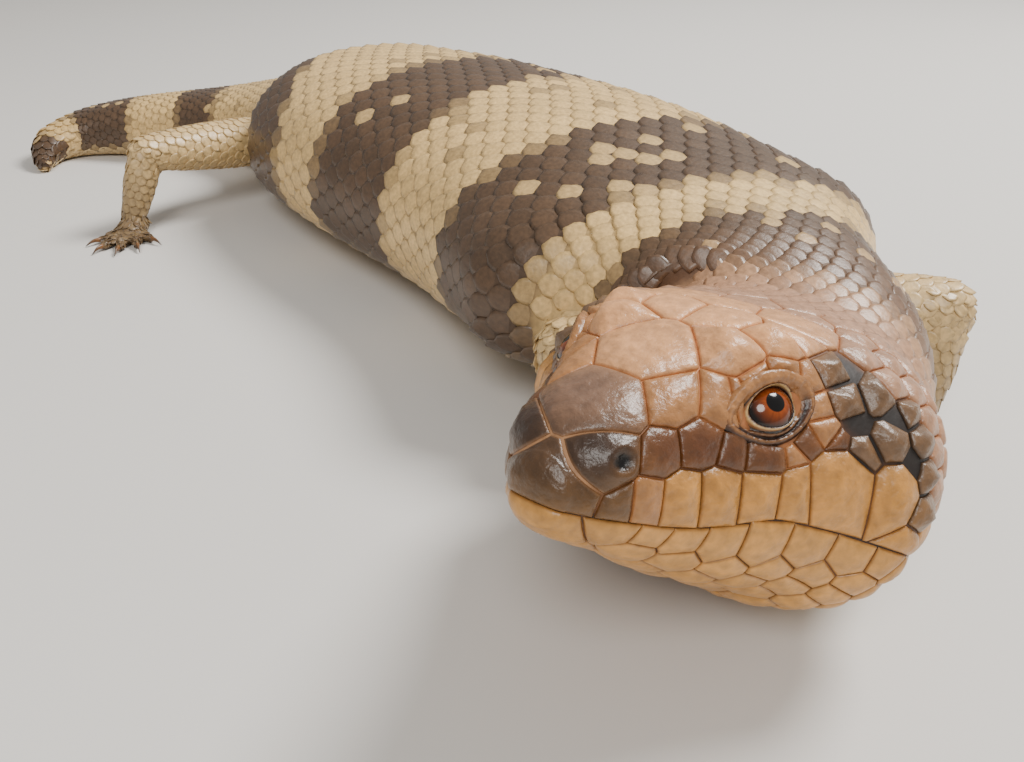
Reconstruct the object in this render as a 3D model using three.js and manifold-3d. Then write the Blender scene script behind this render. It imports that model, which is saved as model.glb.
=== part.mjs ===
import * as THREE from 'three';
import { mergeVertices } from 'three/addons/utils/BufferGeometryUtils.js';
import Module from 'manifold-3d';

// Western blue-tongued lizard at rest, life size, in millimetres, +Z up.
// The belly lies on the floor at z = 0, +X points along the middle of the trunk towards the shoulders,
// and the head looks round to the animal's right.

const wasm = await Module();
wasm.setup();

// Driving dimensions
const GAP = 0.36; // thin cut between neighbouring parts
const HEAD_STEP = 3.1; // between rings of the head
const BEND_STEP = 4.4; // between rings of the neck and the end of the tail
const TRUNK_STEP = 7.4; // between rings of the trunk
const RING_SIDES = 24; // sides of a cross-section of head, trunk and tail
const LIMB_DETAIL = { sides: 10, endSteps: 2, bodySteps: 3 };
const TOE_DETAIL = { sides: 7, endSteps: 2, bodySteps: 1 };
const CLAW_SIDES = 6;
const CLAW_STEPS = 3;
const DEGREE = Math.PI / 180;

const HEAD_LENGTH = 44; // snout tip to the nape, where the neck begins to bend
const HEAD_BACK = 6; // the head's own part ends this far behind the nape
const HEAD_LIP = [105.8, -74.8, 32.7]; // middle of the upper lip
const HEAD_AZIMUTH = -75.8;
const HEAD_ELEVATION = 19.5;
const HEAD_ROLL = 3; // the left side is a little higher
const HEAD_ROUNDNESS = 2.4; // exponent of the superellipse of a cross-section
const BODY_ROUNDNESS = 2.3;

// Cross-sections of the head: mm behind the snout, half width, height over and depth under the lip line
const HEAD_SECTIONS = [
  [0.8, 3.5, 5.1, 1.9],
  [3, 5.7, 8.1, 3.4],
  [6, 7.8, 10.2, 4.5],
  [11, 10.2, 12.9, 6.6],
  [16, 12.6, 15.3, 8.8],
  [21, 15.7, 17.3, 10.8],
  [28, 19.9, 19, 12.9],
  [36, 25.1, 19.1, 16.1],
  [44, 24.9, 19.5, 14.4],
];

// Cross-sections behind the nape: mm along the back, half width, height of the widest level,
// rise of the back over it and drop of the belly under it. Where the drop is more, the belly is flat on the floor.
const BODY_SECTIONS = [
  [8, 21.4, 18.5, 17.4, 14.8],
  [28, 23, 20.6, 17.6, 13.8],
  [53, 38.2, 21, 18.6, 16.5],
  [88, 36.7, 19, 23.3, 20.2],
  [128, 37.7, 19, 22.7, 20.2],
  [168, 35.7, 17, 22.7, 18.2],
  [188, 28, 15, 20, 16],
  [208, 19.5, 12.4, 14.4, 13.2],
  [236, 13, 10.2, 10.2, 10.9],
  [262, 10, 8.6, 8.4, 9.2],
  [278, 8.2, 7, 6.9, 7.5],
  [291, 5.6, 4.8, 4.8, 5.2],
  [304, 1.6, 1.7, 1.4, 2.1],
];
const TAIL_END = 304;

// The neck is one smooth curve on the floor plan from the nape to the shoulders
const SHOULDERS = [54.5, -6.2];
const NECK_HANDLES = [18, 22];

// Direction in which the trunk and tail face, in degrees from +X, at mm behind the nape
const BODY_HEADINGS = [
  [53, -13],
  [88, -5],
  [108, 1],
  [128, 4],
  [168, -1],
  [188, 8],
  [208, 22],
  [228, 36],
  [245, 48],
  [266, 52],
  [276, 66],
  [285, 100],
  [293, 142],
  [304, 176],
];

// Lengths of the body: name, start and end in mm behind the nape, material
const BODY_PARTS = [
  ['neck', HEAD_BACK, 40, 'scale_tan'],
  ['trunk_front', 40, 88, 'scale_cream'],
  ['trunk_middle', 88, 148, 'scale_brown'],
  ['trunk_rear', 148, 204, 'scale_cream'],
  ['tail_base', 204, 240, 'scale_brown'],
  ['tail_middle', 240, 274, 'scale_cream'],
  ['tail_tip', 274, TAIL_END, 'scale_brown'],
];

// Eye, in head coordinates: behind the snout, to the side, over the lip line
const EYE_CENTRE = [21.4, 10.6, 10.9];
const EYE_RADIUS = 3.4;
const MOUTH_CORNER = 38.5; // behind the snout
const MOUTH_DROP = 4.2; // fall of the lip line at the corner of the mouth

// Limbs: the joints from the body to the ankle or wrist, radii there and the direction of the toes
const LIMBS = [
  {
    name: 'front_left', upper: 'upper_arm', lower: 'forearm', toeAim: -80, side: 1,
    joints: [[75, 4, 17], [89.5, 17, 20.5], [93, 11, 4.6]], radii: [7, 5.8, 3.5], toes: [4.6, 5.8, 6.2, 5.6, 4.2],
  },
  {
    name: 'front_right', upper: 'upper_arm', lower: 'forearm', toeAim: -12, side: -1,
    joints: [[67, -20, 17], [64, -37, 19], [69.5, -41.5, 4.6]], radii: [7, 5.6, 3.5], toes: [4.6, 5.8, 6.2, 5.6, 4.2],
  },
  {
    name: 'hind_left', upper: 'thigh', lower: 'shin', toeAim: 38, side: 1,
    joints: [[-84, 12, 15], [-83, 46, 18], [-80, 52, 4.4]], radii: [6.4, 4.5, 3.1], toes: [4.2, 5.8, 6.8, 6.8, 4.8],
  },
  {
    name: 'hind_right', upper: 'thigh', lower: 'shin', toeAim: -38, side: -1,
    joints: [[-81, -24, 15], [-73.5, -59, 19], [-73, -65, 4.4]], radii: [6.4, 4.5, 3.1], toes: [4.2, 5.8, 6.8, 6.8, 4.8],
  },
];
const TOE_SPREAD = [-56, -28, -4, 20, 46]; // degrees either side of the aim, from the inner toe to the outer
const TOE_RADIUS = 1.3;
const PALM_RADIUS = 4.1;
const PALM_HEIGHT = 3;
const CLAW_LENGTH = 2.4;
const CLAW_RADIUS = 0.62;
const CLAW_TAPER = 0.62;
const CLAW_ARCH = 0.3;
const CLAW_FALL = 0.65;
const CLAW_FLATNESS = 0.75;
const CLAW_CLEARANCE = 0.02; // over the floor

const MATERIALS = {
  scale_brown: new THREE.MeshStandardMaterial({ color: 0x5f5142, roughness: 0.5 }),
  scale_cream: new THREE.MeshStandardMaterial({ color: 0xcdb98c, roughness: 0.5 }),
  scale_tan: new THREE.MeshStandardMaterial({ color: 0xb79d78, roughness: 0.45 }),
  head_shield: new THREE.MeshStandardMaterial({ color: 0xc4a283, roughness: 0.35 }),
  lip_shield: new THREE.MeshStandardMaterial({ color: 0xc8a062, roughness: 0.4 }),
  eye: new THREE.MeshStandardMaterial({ color: 0x7a3a12, roughness: 0.05 }),
  claw: new THREE.MeshStandardMaterial({ color: 0x33291f, roughness: 0.4 }),
};

const toVector = ([x, y, z]) => new THREE.Vector3(x, y, z);

// Smooth curve through the rows of a table that never overshoots them
function smoothTable(rows, column) {
  const xs = rows.map((row) => row[0]);
  const ys = rows.map((row) => row[column]);
  const slopes = [];
  for (let i = 0; i + 1 < xs.length; i++) {
    slopes.push((ys[i + 1] - ys[i]) / (xs[i + 1] - xs[i]));
  }
  const tangents = ys.map((_, i) => {
    const before = slopes[i - 1] ?? slopes[i];
    const after = slopes[i] ?? slopes[i - 1];
    return before * after <= 0 ? 0 : (2 * before * after) / (before + after);
  });
  return (x) => {
    const clamped = Math.min(Math.max(x, xs[0]), xs[xs.length - 1]);
    let i = 0;
    while (i + 2 < xs.length && clamped > xs[i + 1]) i++;
    const width = xs[i + 1] - xs[i];
    const t = (clamped - xs[i]) / width;
    const riseIn = t * (1 - t) * (1 - t) * width * tangents[i];
    const riseOut = t * t * (t - 1) * width * tangents[i + 1];
    return ys[i] + (ys[i + 1] - ys[i]) * t * t * (3 - 2 * t) + riseIn + riseOut;
  };
}

// Frame of the head: its axes and the place of a point given in head coordinates
const HEAD_AXES = (() => {
  const forward = new THREE.Vector3(1, 0, 0)
    .applyAxisAngle(new THREE.Vector3(0, -1, 0), HEAD_ELEVATION * DEGREE)
    .applyAxisAngle(new THREE.Vector3(0, 0, 1), HEAD_AZIMUTH * DEGREE);
  const left = new THREE.Vector3(0, 0, 1).cross(forward).normalize().applyAxisAngle(forward, HEAD_ROLL * DEGREE);
  return { forward, left, up: forward.clone().cross(left) };
})();

function headPoint(behind, side, above) {
  return toVector(HEAD_LIP)
    .addScaledVector(HEAD_AXES.forward, -behind)
    .addScaledVector(HEAD_AXES.left, side)
    .addScaledVector(HEAD_AXES.up, above);
}

const headHalfWidth = smoothTable(HEAD_SECTIONS, 1);
const headTop = smoothTable(HEAD_SECTIONS, 2);
const headBottom = smoothTable(HEAD_SECTIONS, 3);
const AXIS_SHARE = 0.35; // how far the widest level lies above the lip line, of the difference of top and bottom

function headSection(behind) {
  const top = headTop(behind);
  const bottom = headBottom(behind);
  const axis = (top - bottom) * AXIS_SHARE;
  return {
    centre: headPoint(behind, 0, axis),
    left: HEAD_AXES.left,
    up: HEAD_AXES.up,
    halfWidth: headHalfWidth(behind),
    rise: top - axis,
    drop: bottom + axis,
    roundness: HEAD_ROUNDNESS,
  };
}

// Path of the body on the floor plan: the curve of the neck, then small steps back from the shoulders
const trunkHeading = smoothTable(BODY_HEADINGS, 1);
const PATH_STEP = 1;
const alongFloor = (degrees) => new THREE.Vector3(Math.cos(degrees * DEGREE), Math.sin(degrees * DEGREE), 0);

const NECK_CURVE = (() => {
  const nape = headSection(HEAD_LENGTH).centre.clone().setZ(0);
  const shoulders = new THREE.Vector3(...SHOULDERS, 0);
  return new THREE.CubicBezierCurve3(
    nape,
    nape.clone().addScaledVector(alongFloor(HEAD_AZIMUTH), -NECK_HANDLES[0]),
    shoulders.clone().addScaledVector(alongFloor(BODY_HEADINGS[0][1]), NECK_HANDLES[1]),
    shoulders,
  );
})();
const NECK_LENGTH = NECK_CURVE.getLength();

const TRUNK_PATH = (() => {
  const points = [new THREE.Vector3(...SHOULDERS, 0)];
  for (let s = NECK_LENGTH; s < TAIL_END; s += PATH_STEP) {
    const last = points[points.length - 1];
    points.push(last.clone().addScaledVector(alongFloor(trunkHeading(s + PATH_STEP / 2)), -PATH_STEP));
  }
  return points;
})();

function pathPoint(s) {
  if (s < NECK_LENGTH) return NECK_CURVE.getPointAt(s / NECK_LENGTH);
  const along = (s - NECK_LENGTH) / PATH_STEP;
  const i = Math.min(Math.floor(along), TRUNK_PATH.length - 2);
  return TRUNK_PATH[i].clone().lerp(TRUNK_PATH[i + 1], along - i);
}

function pathForward(s) {
  if (s < NECK_LENGTH) return NECK_CURVE.getTangentAt(s / NECK_LENGTH).negate();
  return alongFloor(trunkHeading(s));
}

const bodyColumns = [1, 2, 3, 4].map((column) => {
  const nape = headSection(HEAD_LENGTH);
  const napeRow = [0, nape.halfWidth, nape.centre.z, nape.rise, nape.drop];
  return smoothTable([napeRow, ...BODY_SECTIONS], column);
});
const NECK_TURN_LENGTH = 26; // over which the sections turn from the head's tilt to upright

// Section of the whole animal at s mm behind the nape, negative on the head
function section(s) {
  if (s <= 0) return headSection(HEAD_LENGTH + s);
  const [halfWidth, height, rise, drop] = bodyColumns.map((column) => column(s));
  const forward = pathForward(s);
  const upright = new THREE.Vector3(-forward.y, forward.x, 0);
  const share = Math.min(s / NECK_TURN_LENGTH, 1);
  const turned = share * share * (3 - 2 * share);
  const left = HEAD_AXES.left.clone().lerp(upright, turned).normalize();
  const up = HEAD_AXES.up.clone().lerp(new THREE.Vector3(0, 0, 1), turned).normalize();
  const roundness = HEAD_ROUNDNESS + (BODY_ROUNDNESS - HEAD_ROUNDNESS) * turned;
  return { centre: pathPoint(s).setZ(height), left, up, halfWidth, rise, drop, roundness };
}

function ring(cut, grow, sides) {
  const power = 2 / cut.roundness;
  const points = [];
  for (let i = 0; i < sides; i++) {
    const angle = -(i / sides) * 2 * Math.PI;
    const across = Math.sign(Math.cos(angle)) * Math.abs(Math.cos(angle)) ** power;
    const over = Math.sign(Math.sin(angle)) * Math.abs(Math.sin(angle)) ** power;
    const height = (over > 0 ? cut.rise : cut.drop) + grow;
    const point = cut.centre.clone()
      .addScaledVector(cut.left, across * (cut.halfWidth + grow))
      .addScaledVector(cut.up, over * height);
    point.z = Math.max(point.z, 0);
    points.push(point);
  }
  return points;
}

// Closed mesh from rings of equal count, each end closed by a fan about its middle or the given pole
function loft(rings, startPole, endPole) {
  const sides = rings[0].length;
  const middle = (points) => points
    .reduce((sum, point) => sum.add(point), new THREE.Vector3())
    .divideScalar(points.length);
  const vertices = [...rings.flat(), startPole ?? middle(rings[0]), endPole ?? middle(rings[rings.length - 1])];
  const start = rings.length * sides;
  const last = (rings.length - 1) * sides;
  const faces = [];
  for (let i = 0; i < sides; i++) {
    const j = (i + 1) % sides;
    faces.push(start, j, i);
    faces.push(start + 1, last + i, last + j);
    for (let r = 0; r + 1 < rings.length; r++) {
      const a = r * sides;
      const b = a + sides;
      faces.push(a + i, a + j, b + j);
      faces.push(a + i, b + j, b + i);
    }
  }
  const geometry = new THREE.BufferGeometry();
  geometry.setAttribute('position', new THREE.Float32BufferAttribute(vertices.flatMap((v) => v.toArray()), 3));
  geometry.setIndex(faces);
  return geometry;
}

function toSolid(geometry) {
  const bare = geometry.clone();
  bare.deleteAttribute('normal');
  bare.deleteAttribute('uv');
  const merged = mergeVertices(bare, 1e-5);
  return new wasm.Manifold(new wasm.Mesh({
    numProp: 3,
    vertProperties: new Float32Array(merged.attributes.position.array),
    triVerts: new Uint32Array(merged.index.array),
  }));
}

// Main body of a cut solid, without the slivers that a cut can leave
function mainBody(solid) {
  return solid.decompose().reduce((best, piece) => (piece.volume() > best.volume() ? piece : best));
}

function toGeometry(solid) {
  const mesh = mainBody(solid).getMesh();
  const geometry = new THREE.BufferGeometry();
  geometry.setAttribute('position', new THREE.Float32BufferAttribute(mesh.vertProperties, 3));
  geometry.setIndex(Array.from(mesh.triVerts));
  return geometry;
}

function stationsBetween(start, end, step) {
  const count = Math.max(1, Math.round((end - start) / step));
  return Array.from({ length: count + 1 }, (_, i) => start + ((end - start) * i) / count);
}

// Rings closer together where the outline turns fast
const NECK_END = BODY_PARTS[0][2];
const TAIL_MIDDLE = BODY_PARTS[5][1];
function bodyStations(start, end) {
  if (start < 0) return stationsBetween(start, end, HEAD_STEP);
  return stationsBetween(start, end, start >= TAIL_MIDDLE || end <= NECK_END ? BEND_STEP : TRUNK_STEP);
}

const SNOUT_START = -HEAD_LENGTH + HEAD_SECTIONS[0][0];
const SNOUT_POLE_BEHIND = 0.2;
const SNOUT_POLE_SHARE = 0.3; // height of the snout's tip as a share of the rise there

function bodyLoft(start, end, grow = 0) {
  const rings = bodyStations(start, end).map((s) => ring(section(s), grow, RING_SIDES));
  const onSnout = start <= SNOUT_START;
  const snoutPole = onSnout ? headPoint(SNOUT_POLE_BEHIND - grow, 0, headSection(0).rise * SNOUT_POLE_SHARE) : undefined;
  return loft(rings, snoutPole);
}

// Box given in head coordinates by its corners
function headBox(low, high) {
  const geometry = new THREE.BoxGeometry(high[0] - low[0], high[1] - low[1], high[2] - low[2]);
  geometry.translate((low[0] + high[0]) / 2, (low[1] + high[1]) / 2, (low[2] + high[2]) / 2);
  return geometry;
}

function placeOnHead(geometry) {
  const { forward, left, up } = HEAD_AXES;
  const matrix = new THREE.Matrix4().makeBasis(forward.clone().negate(), left.clone().negate(), up);
  matrix.setPosition(toVector(HEAD_LIP));
  return geometry.applyMatrix4(matrix);
}

// Head, lower jaw and eyes
function eyeGeometry(side, grow) {
  const ball = new THREE.SphereGeometry(EYE_RADIUS + grow, 14, 9);
  ball.translate(EYE_CENTRE[0], -side * EYE_CENTRE[1], EYE_CENTRE[2]);
  return placeOnHead(ball);
}

const LIP_LINE_START = 0.3; // height of the lip line at the snout
const JAW_BLOCK = { front: -5, halfWidth: 40, depth: 30 };

// Block under the lip line, which falls towards the corner of the mouth
function jawBlock(lift, end) {
  const { front, halfWidth, depth } = JAW_BLOCK;
  const block = headBox([front, -halfWidth, -depth], [end, halfWidth, 0]);
  const position = block.attributes.position;
  for (let i = 0; i < position.count; i++) {
    const behind = position.getX(i);
    const isTop = position.getZ(i) > -depth / 2;
    if (isTop) position.setZ(i, lift - (MOUTH_DROP * behind) / MOUTH_CORNER);
  }
  return placeOnHead(block);
}

function buildHead() {
  const whole = toSolid(bodyLoft(SNOUT_START, HEAD_BACK - GAP / 2));
  const jawSpace = toSolid(jawBlock(LIP_LINE_START + GAP / 2, MOUTH_CORNER + GAP));
  const jaw = whole.intersect(toSolid(jawBlock(LIP_LINE_START - GAP / 2, MOUTH_CORNER)));
  let head = whole.subtract(jawSpace);
  for (const side of [1, -1]) head = head.subtract(toSolid(eyeGeometry(side, GAP)));
  return { head, jaw };
}

// Limb pieces: a tapered bone and muscle shape between two joints, with round ends
function limbBone(from, to, radiusFrom, radiusTo, grow, swell = 0, detail = LIMB_DETAIL) {
  const { sides, endSteps, bodySteps } = detail;
  const axis = to.clone().sub(from);
  const length = axis.length();
  const turn = new THREE.Quaternion().setFromUnitVectors(new THREE.Vector3(0, 0, 1), axis.normalize());
  const a = radiusFrom + grow;
  const b = radiusTo + grow;
  const outline = [];
  for (let i = 1; i <= endSteps; i++) {
    const angle = (i / endSteps) * (Math.PI / 2);
    outline.push([a * Math.sin(angle), -a * Math.cos(angle)]);
  }
  for (let i = 1; i < bodySteps; i++) {
    const t = i / bodySteps;
    outline.push([a + (b - a) * t + swell * Math.sin(Math.PI * t), length * t]);
  }
  for (let i = endSteps; i >= 1; i--) {
    const angle = (i / endSteps) * (Math.PI / 2);
    outline.push([b * Math.sin(angle), length + b * Math.cos(angle)]);
  }
  const rings = outline.map(([radius, along]) => Array.from({ length: sides }, (_, i) => {
    const angle = (i / sides) * 2 * Math.PI;
    return new THREE.Vector3(radius * Math.cos(angle), radius * Math.sin(angle), along)
      .applyQuaternion(turn).add(from);
  }));
  const poleFrom = new THREE.Vector3(0, 0, -a).applyQuaternion(turn).add(from);
  const poleTo = new THREE.Vector3(0, 0, length + b).applyQuaternion(turn).add(from);
  return toSolid(loft(rings, poleFrom, poleTo));
}

const FLOOR_SIZE = 600;
const FLOOR_DEPTH = 40;
const FLOOR_BLOCK = (() => {
  const block = new THREE.BoxGeometry(FLOOR_SIZE, FLOOR_SIZE, FLOOR_DEPTH);
  block.translate(0, 0, -FLOOR_DEPTH / 2);
  return toSolid(block);
})();

function toeDirection(limb, index) {
  const angle = (limb.toeAim + limb.side * TOE_SPREAD[index]) * DEGREE;
  return new THREE.Vector3(Math.cos(angle), Math.sin(angle), 0);
}

const PALM_FORWARD = 2; // palm centre in front of the ankle or wrist
const TOE_START = 2.6; // from the palm's centre to the root of a toe
const TOE_HEIGHTS = [1.8, 1]; // axis of a toe over the floor at its root and tip
const TOE_TAPER = 0.86; // radius of a toe's tip as a share of TOE_RADIUS
const TOE_ROOT = 1.2; // radius of a toe's root as a share of TOE_RADIUS
const PALM_LEVEL = 0.7; // height of the palm's middle as a share of PALM_HEIGHT
const HEEL_LEVEL = 0.8; // height of the heel bone's end as a share of PALM_HEIGHT
const HEEL_RADIUS = 0.85; // radius there as a share of PALM_HEIGHT
const ANKLE_SHARE = 0.96; // radius of the foot at the ankle as a share of the shin's

function palmCentre(limb) {
  const aim = limb.toeAim * DEGREE;
  const [x, y] = limb.joints[2];
  return new THREE.Vector3(x + PALM_FORWARD * Math.cos(aim), y + PALM_FORWARD * Math.sin(aim), 0);
}

function toePoints(limb, index) {
  const centre = palmCentre(limb);
  const direction = toeDirection(limb, index);
  const length = limb.toes[index];
  const along = [TOE_START, TOE_START + length];
  return along.map((distance, i) => centre.clone().addScaledVector(direction, distance).setZ(TOE_HEIGHTS[i]));
}

function buildFoot(limb, shinEnvelope) {
  const palm = new THREE.SphereGeometry(1, 12, 7);
  palm.scale(PALM_RADIUS, PALM_RADIUS, PALM_HEIGHT);
  palm.translate(...palmCentre(limb).setZ(PALM_HEIGHT * PALM_LEVEL).toArray());
  let foot = toSolid(palm);
  const ankle = toVector(limb.joints[2]);
  const heelEnd = palmCentre(limb).setZ(PALM_HEIGHT * HEEL_LEVEL);
  foot = foot.add(limbBone(ankle, heelEnd, limb.radii[2] * ANKLE_SHARE, PALM_HEIGHT * HEEL_RADIUS, 0));
  for (let i = 0; i < TOE_SPREAD.length; i++) {
    const [root, tip] = toePoints(limb, i);
    foot = foot.add(limbBone(root, tip, TOE_RADIUS * TOE_ROOT, TOE_RADIUS * TOE_TAPER, 0, 0, TOE_DETAIL));
  }
  return foot.subtract(shinEnvelope).subtract(FLOOR_BLOCK);
}

// Claw: a short curved spike that starts just past the tip of its toe
function clawGeometry(limb, index) {
  const direction = toeDirection(limb, index);
  const side = new THREE.Vector3(-direction.y, direction.x, 0);
  const tip = toePoints(limb, index)[1];
  const start = TOE_RADIUS * TOE_TAPER + GAP;
  const rings = [];
  for (let i = 0; i <= CLAW_STEPS; i++) {
    const t = i / CLAW_STEPS;
    const radius = CLAW_RADIUS * (1 - CLAW_TAPER * t);
    const centre = tip.clone().addScaledVector(direction, start + CLAW_LENGTH * t);
    centre.z = tip.z + CLAW_ARCH * Math.sin(Math.PI * t) - CLAW_FALL * t * t;
    rings.push(Array.from({ length: CLAW_SIDES }, (_, k) => {
      const angle = (k / CLAW_SIDES) * 2 * Math.PI;
      const point = centre.clone().addScaledVector(side, radius * CLAW_FLATNESS * Math.cos(angle));
      point.z = Math.max(point.z + radius * Math.sin(angle), CLAW_CLEARANCE);
      return point;
    }));
  }
  return loft(rings);
}

// Assembly
const animal = new THREE.Group();

function addMesh(name, geometry, material) {
  const mesh = new THREE.Mesh(geometry, MATERIALS[material]);
  mesh.name = name;
  animal.add(mesh);
}

const { head, jaw } = buildHead();
addMesh('head', toGeometry(head), 'head_shield');
addMesh('lower_jaw', toGeometry(jaw), 'lip_shield');
addMesh('eye_left', eyeGeometry(1, 0), 'eye');
addMesh('eye_right', eyeGeometry(-1, 0), 'eye');

for (const [name, start, end, material] of BODY_PARTS) {
  const isTip = end === TAIL_END;
  addMesh(name, bodyLoft(start + GAP / 2, isTip ? end : end - GAP / 2), material);
}

// The body a little larger, with the same facets, which trims the limbs where they leave it
function buildBodyEnvelope() {
  const grownHead = toSolid(bodyLoft(SNOUT_START, HEAD_BACK + GAP / 2, GAP));
  return BODY_PARTS.slice(0, 5).reduce((sum, [, start, end]) => {
    const stations = bodyStations(start + GAP / 2, end - GAP / 2);
    stations[0] -= GAP;
    stations[stations.length - 1] += GAP;
    const grown = toSolid(loft(stations.map((s) => ring(section(s), GAP, RING_SIDES))));
    return sum.add(grown).add(toSolid(bodyLoft(start + GAP / 2, end - GAP / 2)));
  }, grownHead);
}
const bodyEnvelope = buildBodyEnvelope();

const UPPER_SWELL = 0.8; // bulge of the muscles of an upper limb
const LOWER_SWELL = 0.5;
const LOWER_SHARE = 0.94; // radius of the lower limb at the bend as a share of the upper limb's

for (const limb of LIMBS) {
  const [root, bend, end] = limb.joints.map(toVector);
  const [rootRadius, bendRadius, endRadius] = limb.radii;
  const upper = limbBone(root, bend, rootRadius, bendRadius, 0, UPPER_SWELL).subtract(bodyEnvelope);
  const upperEnvelope = limbBone(root, bend, rootRadius, bendRadius, GAP, UPPER_SWELL);
  const lower = limbBone(bend, end, bendRadius * LOWER_SHARE, endRadius, 0, LOWER_SWELL)
    .subtract(bodyEnvelope).subtract(upperEnvelope).subtract(FLOOR_BLOCK);
  const lowerEnvelope = limbBone(bend, end, bendRadius * LOWER_SHARE, endRadius, GAP, LOWER_SWELL);
  addMesh(`${limb.upper}_${limb.name}`, toGeometry(upper), 'scale_cream');
  addMesh(`${limb.lower}_${limb.name}`, toGeometry(lower), 'scale_brown');
  addMesh(`foot_${limb.name}`, toGeometry(buildFoot(limb, lowerEnvelope)), 'scale_brown');
  for (let i = 0; i < TOE_SPREAD.length; i++) {
    addMesh(`claw_${limb.name}_${i + 1}`, clawGeometry(limb, i), 'claw');
  }
}

export default animal;
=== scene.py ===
import math

import bmesh
import bpy
import numpy as np
from mathutils import Matrix, Vector
from mathutils.bvhtree import BVHTree
from mathutils.kdtree import KDTree


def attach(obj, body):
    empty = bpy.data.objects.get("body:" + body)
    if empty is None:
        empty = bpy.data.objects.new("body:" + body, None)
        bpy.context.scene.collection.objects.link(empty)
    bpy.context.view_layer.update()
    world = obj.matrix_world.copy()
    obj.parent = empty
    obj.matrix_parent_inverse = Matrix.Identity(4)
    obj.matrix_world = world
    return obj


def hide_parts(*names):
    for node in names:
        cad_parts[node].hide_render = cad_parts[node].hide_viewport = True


bl_info = {
    "name": "Blue tongued skink",
    "version": (1, 0, 0),
    "blender": (4, 5, 0),
    "location": "3D View > Sidebar > Skink",
    "description": "Dresses the solids of a blue tongued skink with skin, scales, shields, eyes and claws",
    "category": "Object",
}

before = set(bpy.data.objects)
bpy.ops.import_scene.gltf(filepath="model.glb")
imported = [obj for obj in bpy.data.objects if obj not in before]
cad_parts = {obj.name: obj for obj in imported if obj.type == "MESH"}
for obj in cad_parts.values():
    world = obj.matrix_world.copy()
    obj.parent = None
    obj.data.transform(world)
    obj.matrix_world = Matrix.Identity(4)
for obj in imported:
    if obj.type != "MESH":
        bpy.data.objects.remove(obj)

# Lengths in the tables are millimetres, and meshes are made in metres
MM = 0.001
TAU = 2 * math.pi

# Form of the animal, the same as that of the solids
HEAD_LENGTH = 44.0
HEAD_LIP = np.array([105.8, -74.8, 32.7])
HEAD_AZIMUTH = math.radians(-75.8)
HEAD_ELEVATION = math.radians(19.5)
HEAD_ROLL = math.radians(3)
HEAD_ROUNDNESS = 2.4
BODY_ROUNDNESS = 2.3
AXIS_SHARE = 0.35
SNOUT_FRONT = 0.8
SNOUT_BULGE = 1.1
SNOUT_STEPS = 8
SNOUT_POLE_SHARE = 0.15
SNOUT_MAP_END = 0.1

# Head: behind the snout, half width, height over and depth under the lip line
HEAD_SECTIONS = [
    (0.8, 3.5, 5.1, 1.9),
    (3, 5.7, 8.1, 3.4),
    (6, 7.8, 10.2, 4.5),
    (11, 10.2, 12.9, 6.6),
    (16, 12.6, 15.3, 8.8),
    (21, 15.7, 17.3, 10.8),
    (28, 19.9, 19, 12.9),
    (36, 25.1, 19.1, 16.1),
    (44, 24.9, 19.5, 14.4),
]

# Neck, trunk and tail: behind the nape, half width, height of the widest level, rise over it, drop under it
BODY_SECTIONS = [
    (8, 21.4, 18.5, 17.4, 14.8),
    (28, 23, 20.6, 17.6, 13.8),
    (53, 38.2, 21, 18.6, 16.5),
    (88, 36.7, 19, 23.3, 20.2),
    (128, 37.7, 19, 22.7, 20.2),
    (168, 35.7, 17, 22.7, 18.2),
    (188, 28, 15, 20, 16),
    (208, 19.5, 12.4, 14.4, 13.2),
    (236, 13, 10.2, 10.2, 10.9),
    (262, 10, 8.6, 8.4, 9.2),
    (278, 8.2, 7, 6.9, 7.5),
    (291, 5.6, 4.8, 4.8, 5.2),
    (304, 1.6, 1.7, 1.4, 2.1),
]
TAIL_END = 304.0
SHOULDERS = np.array([54.5, -6.2])
NECK_HANDLES = (18, 22)
NECK_TURN_LENGTH = 26
NECK_POINTS = 800
PATH_STEP = 0.25

# Direction in which the trunk and tail face, in degrees from +X, at mm behind the nape
BODY_HEADINGS = [
    (53, -13),
    (88, -5),
    (108, 1),
    (128, 4),
    (168, -1),
    (188, 8),
    (208, 22),
    (228, 36),
    (245, 48),
    (266, 52),
    (276, 66),
    (285, 100),
    (293, 142),
    (304, 176),
]

LIMBS = [
    {"name": "front_left", "upper": "upper_arm", "lower": "forearm", "aim": -80, "side": 1,
     "joints": [(75, 4, 17), (89.5, 17, 20.5), (93, 11, 4.6)], "radii": (7, 5.8, 3.5),
     "toes": (4.6, 5.8, 6.2, 5.6, 4.2)},
    {"name": "front_right", "upper": "upper_arm", "lower": "forearm", "aim": -12, "side": -1,
     "joints": [(67, -20, 17), (64, -37, 19), (69.5, -41.5, 4.6)], "radii": (7, 5.6, 3.5),
     "toes": (4.6, 5.8, 6.2, 5.6, 4.2)},
    {"name": "hind_left", "upper": "thigh", "lower": "shin", "aim": 38, "side": 1,
     "joints": [(-84, 12, 15), (-83, 46, 18), (-80, 52, 4.4)], "radii": (6.4, 4.5, 3.1),
     "toes": (4.2, 5.8, 6.8, 6.8, 4.8)},
    {"name": "hind_right", "upper": "thigh", "lower": "shin", "aim": -38, "side": -1,
     "joints": [(-81, -24, 15), (-73.5, -59, 19), (-73, -65, 4.4)], "radii": (6.4, 4.5, 3.1),
     "toes": (4.2, 5.8, 6.8, 6.8, 4.8)},
]
TOE_SPREAD = (-56, -28, -4, 20, 46)
TOE_RADIUS = 1.3
TOE_ROOT_SHARE = 1.2
TOE_TIP_SHARE = 0.86
TOE_START = 2.6
TOE_HEIGHTS = (1.8, 1.0)
PALM_RADIUS = 4.1
PALM_HEIGHT = 3.0
PALM_FORWARD = 2.0
LOWER_LIMB_SHARE = 0.94
UPPER_SWELL = 0.8
LOWER_SWELL = 0.5
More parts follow.
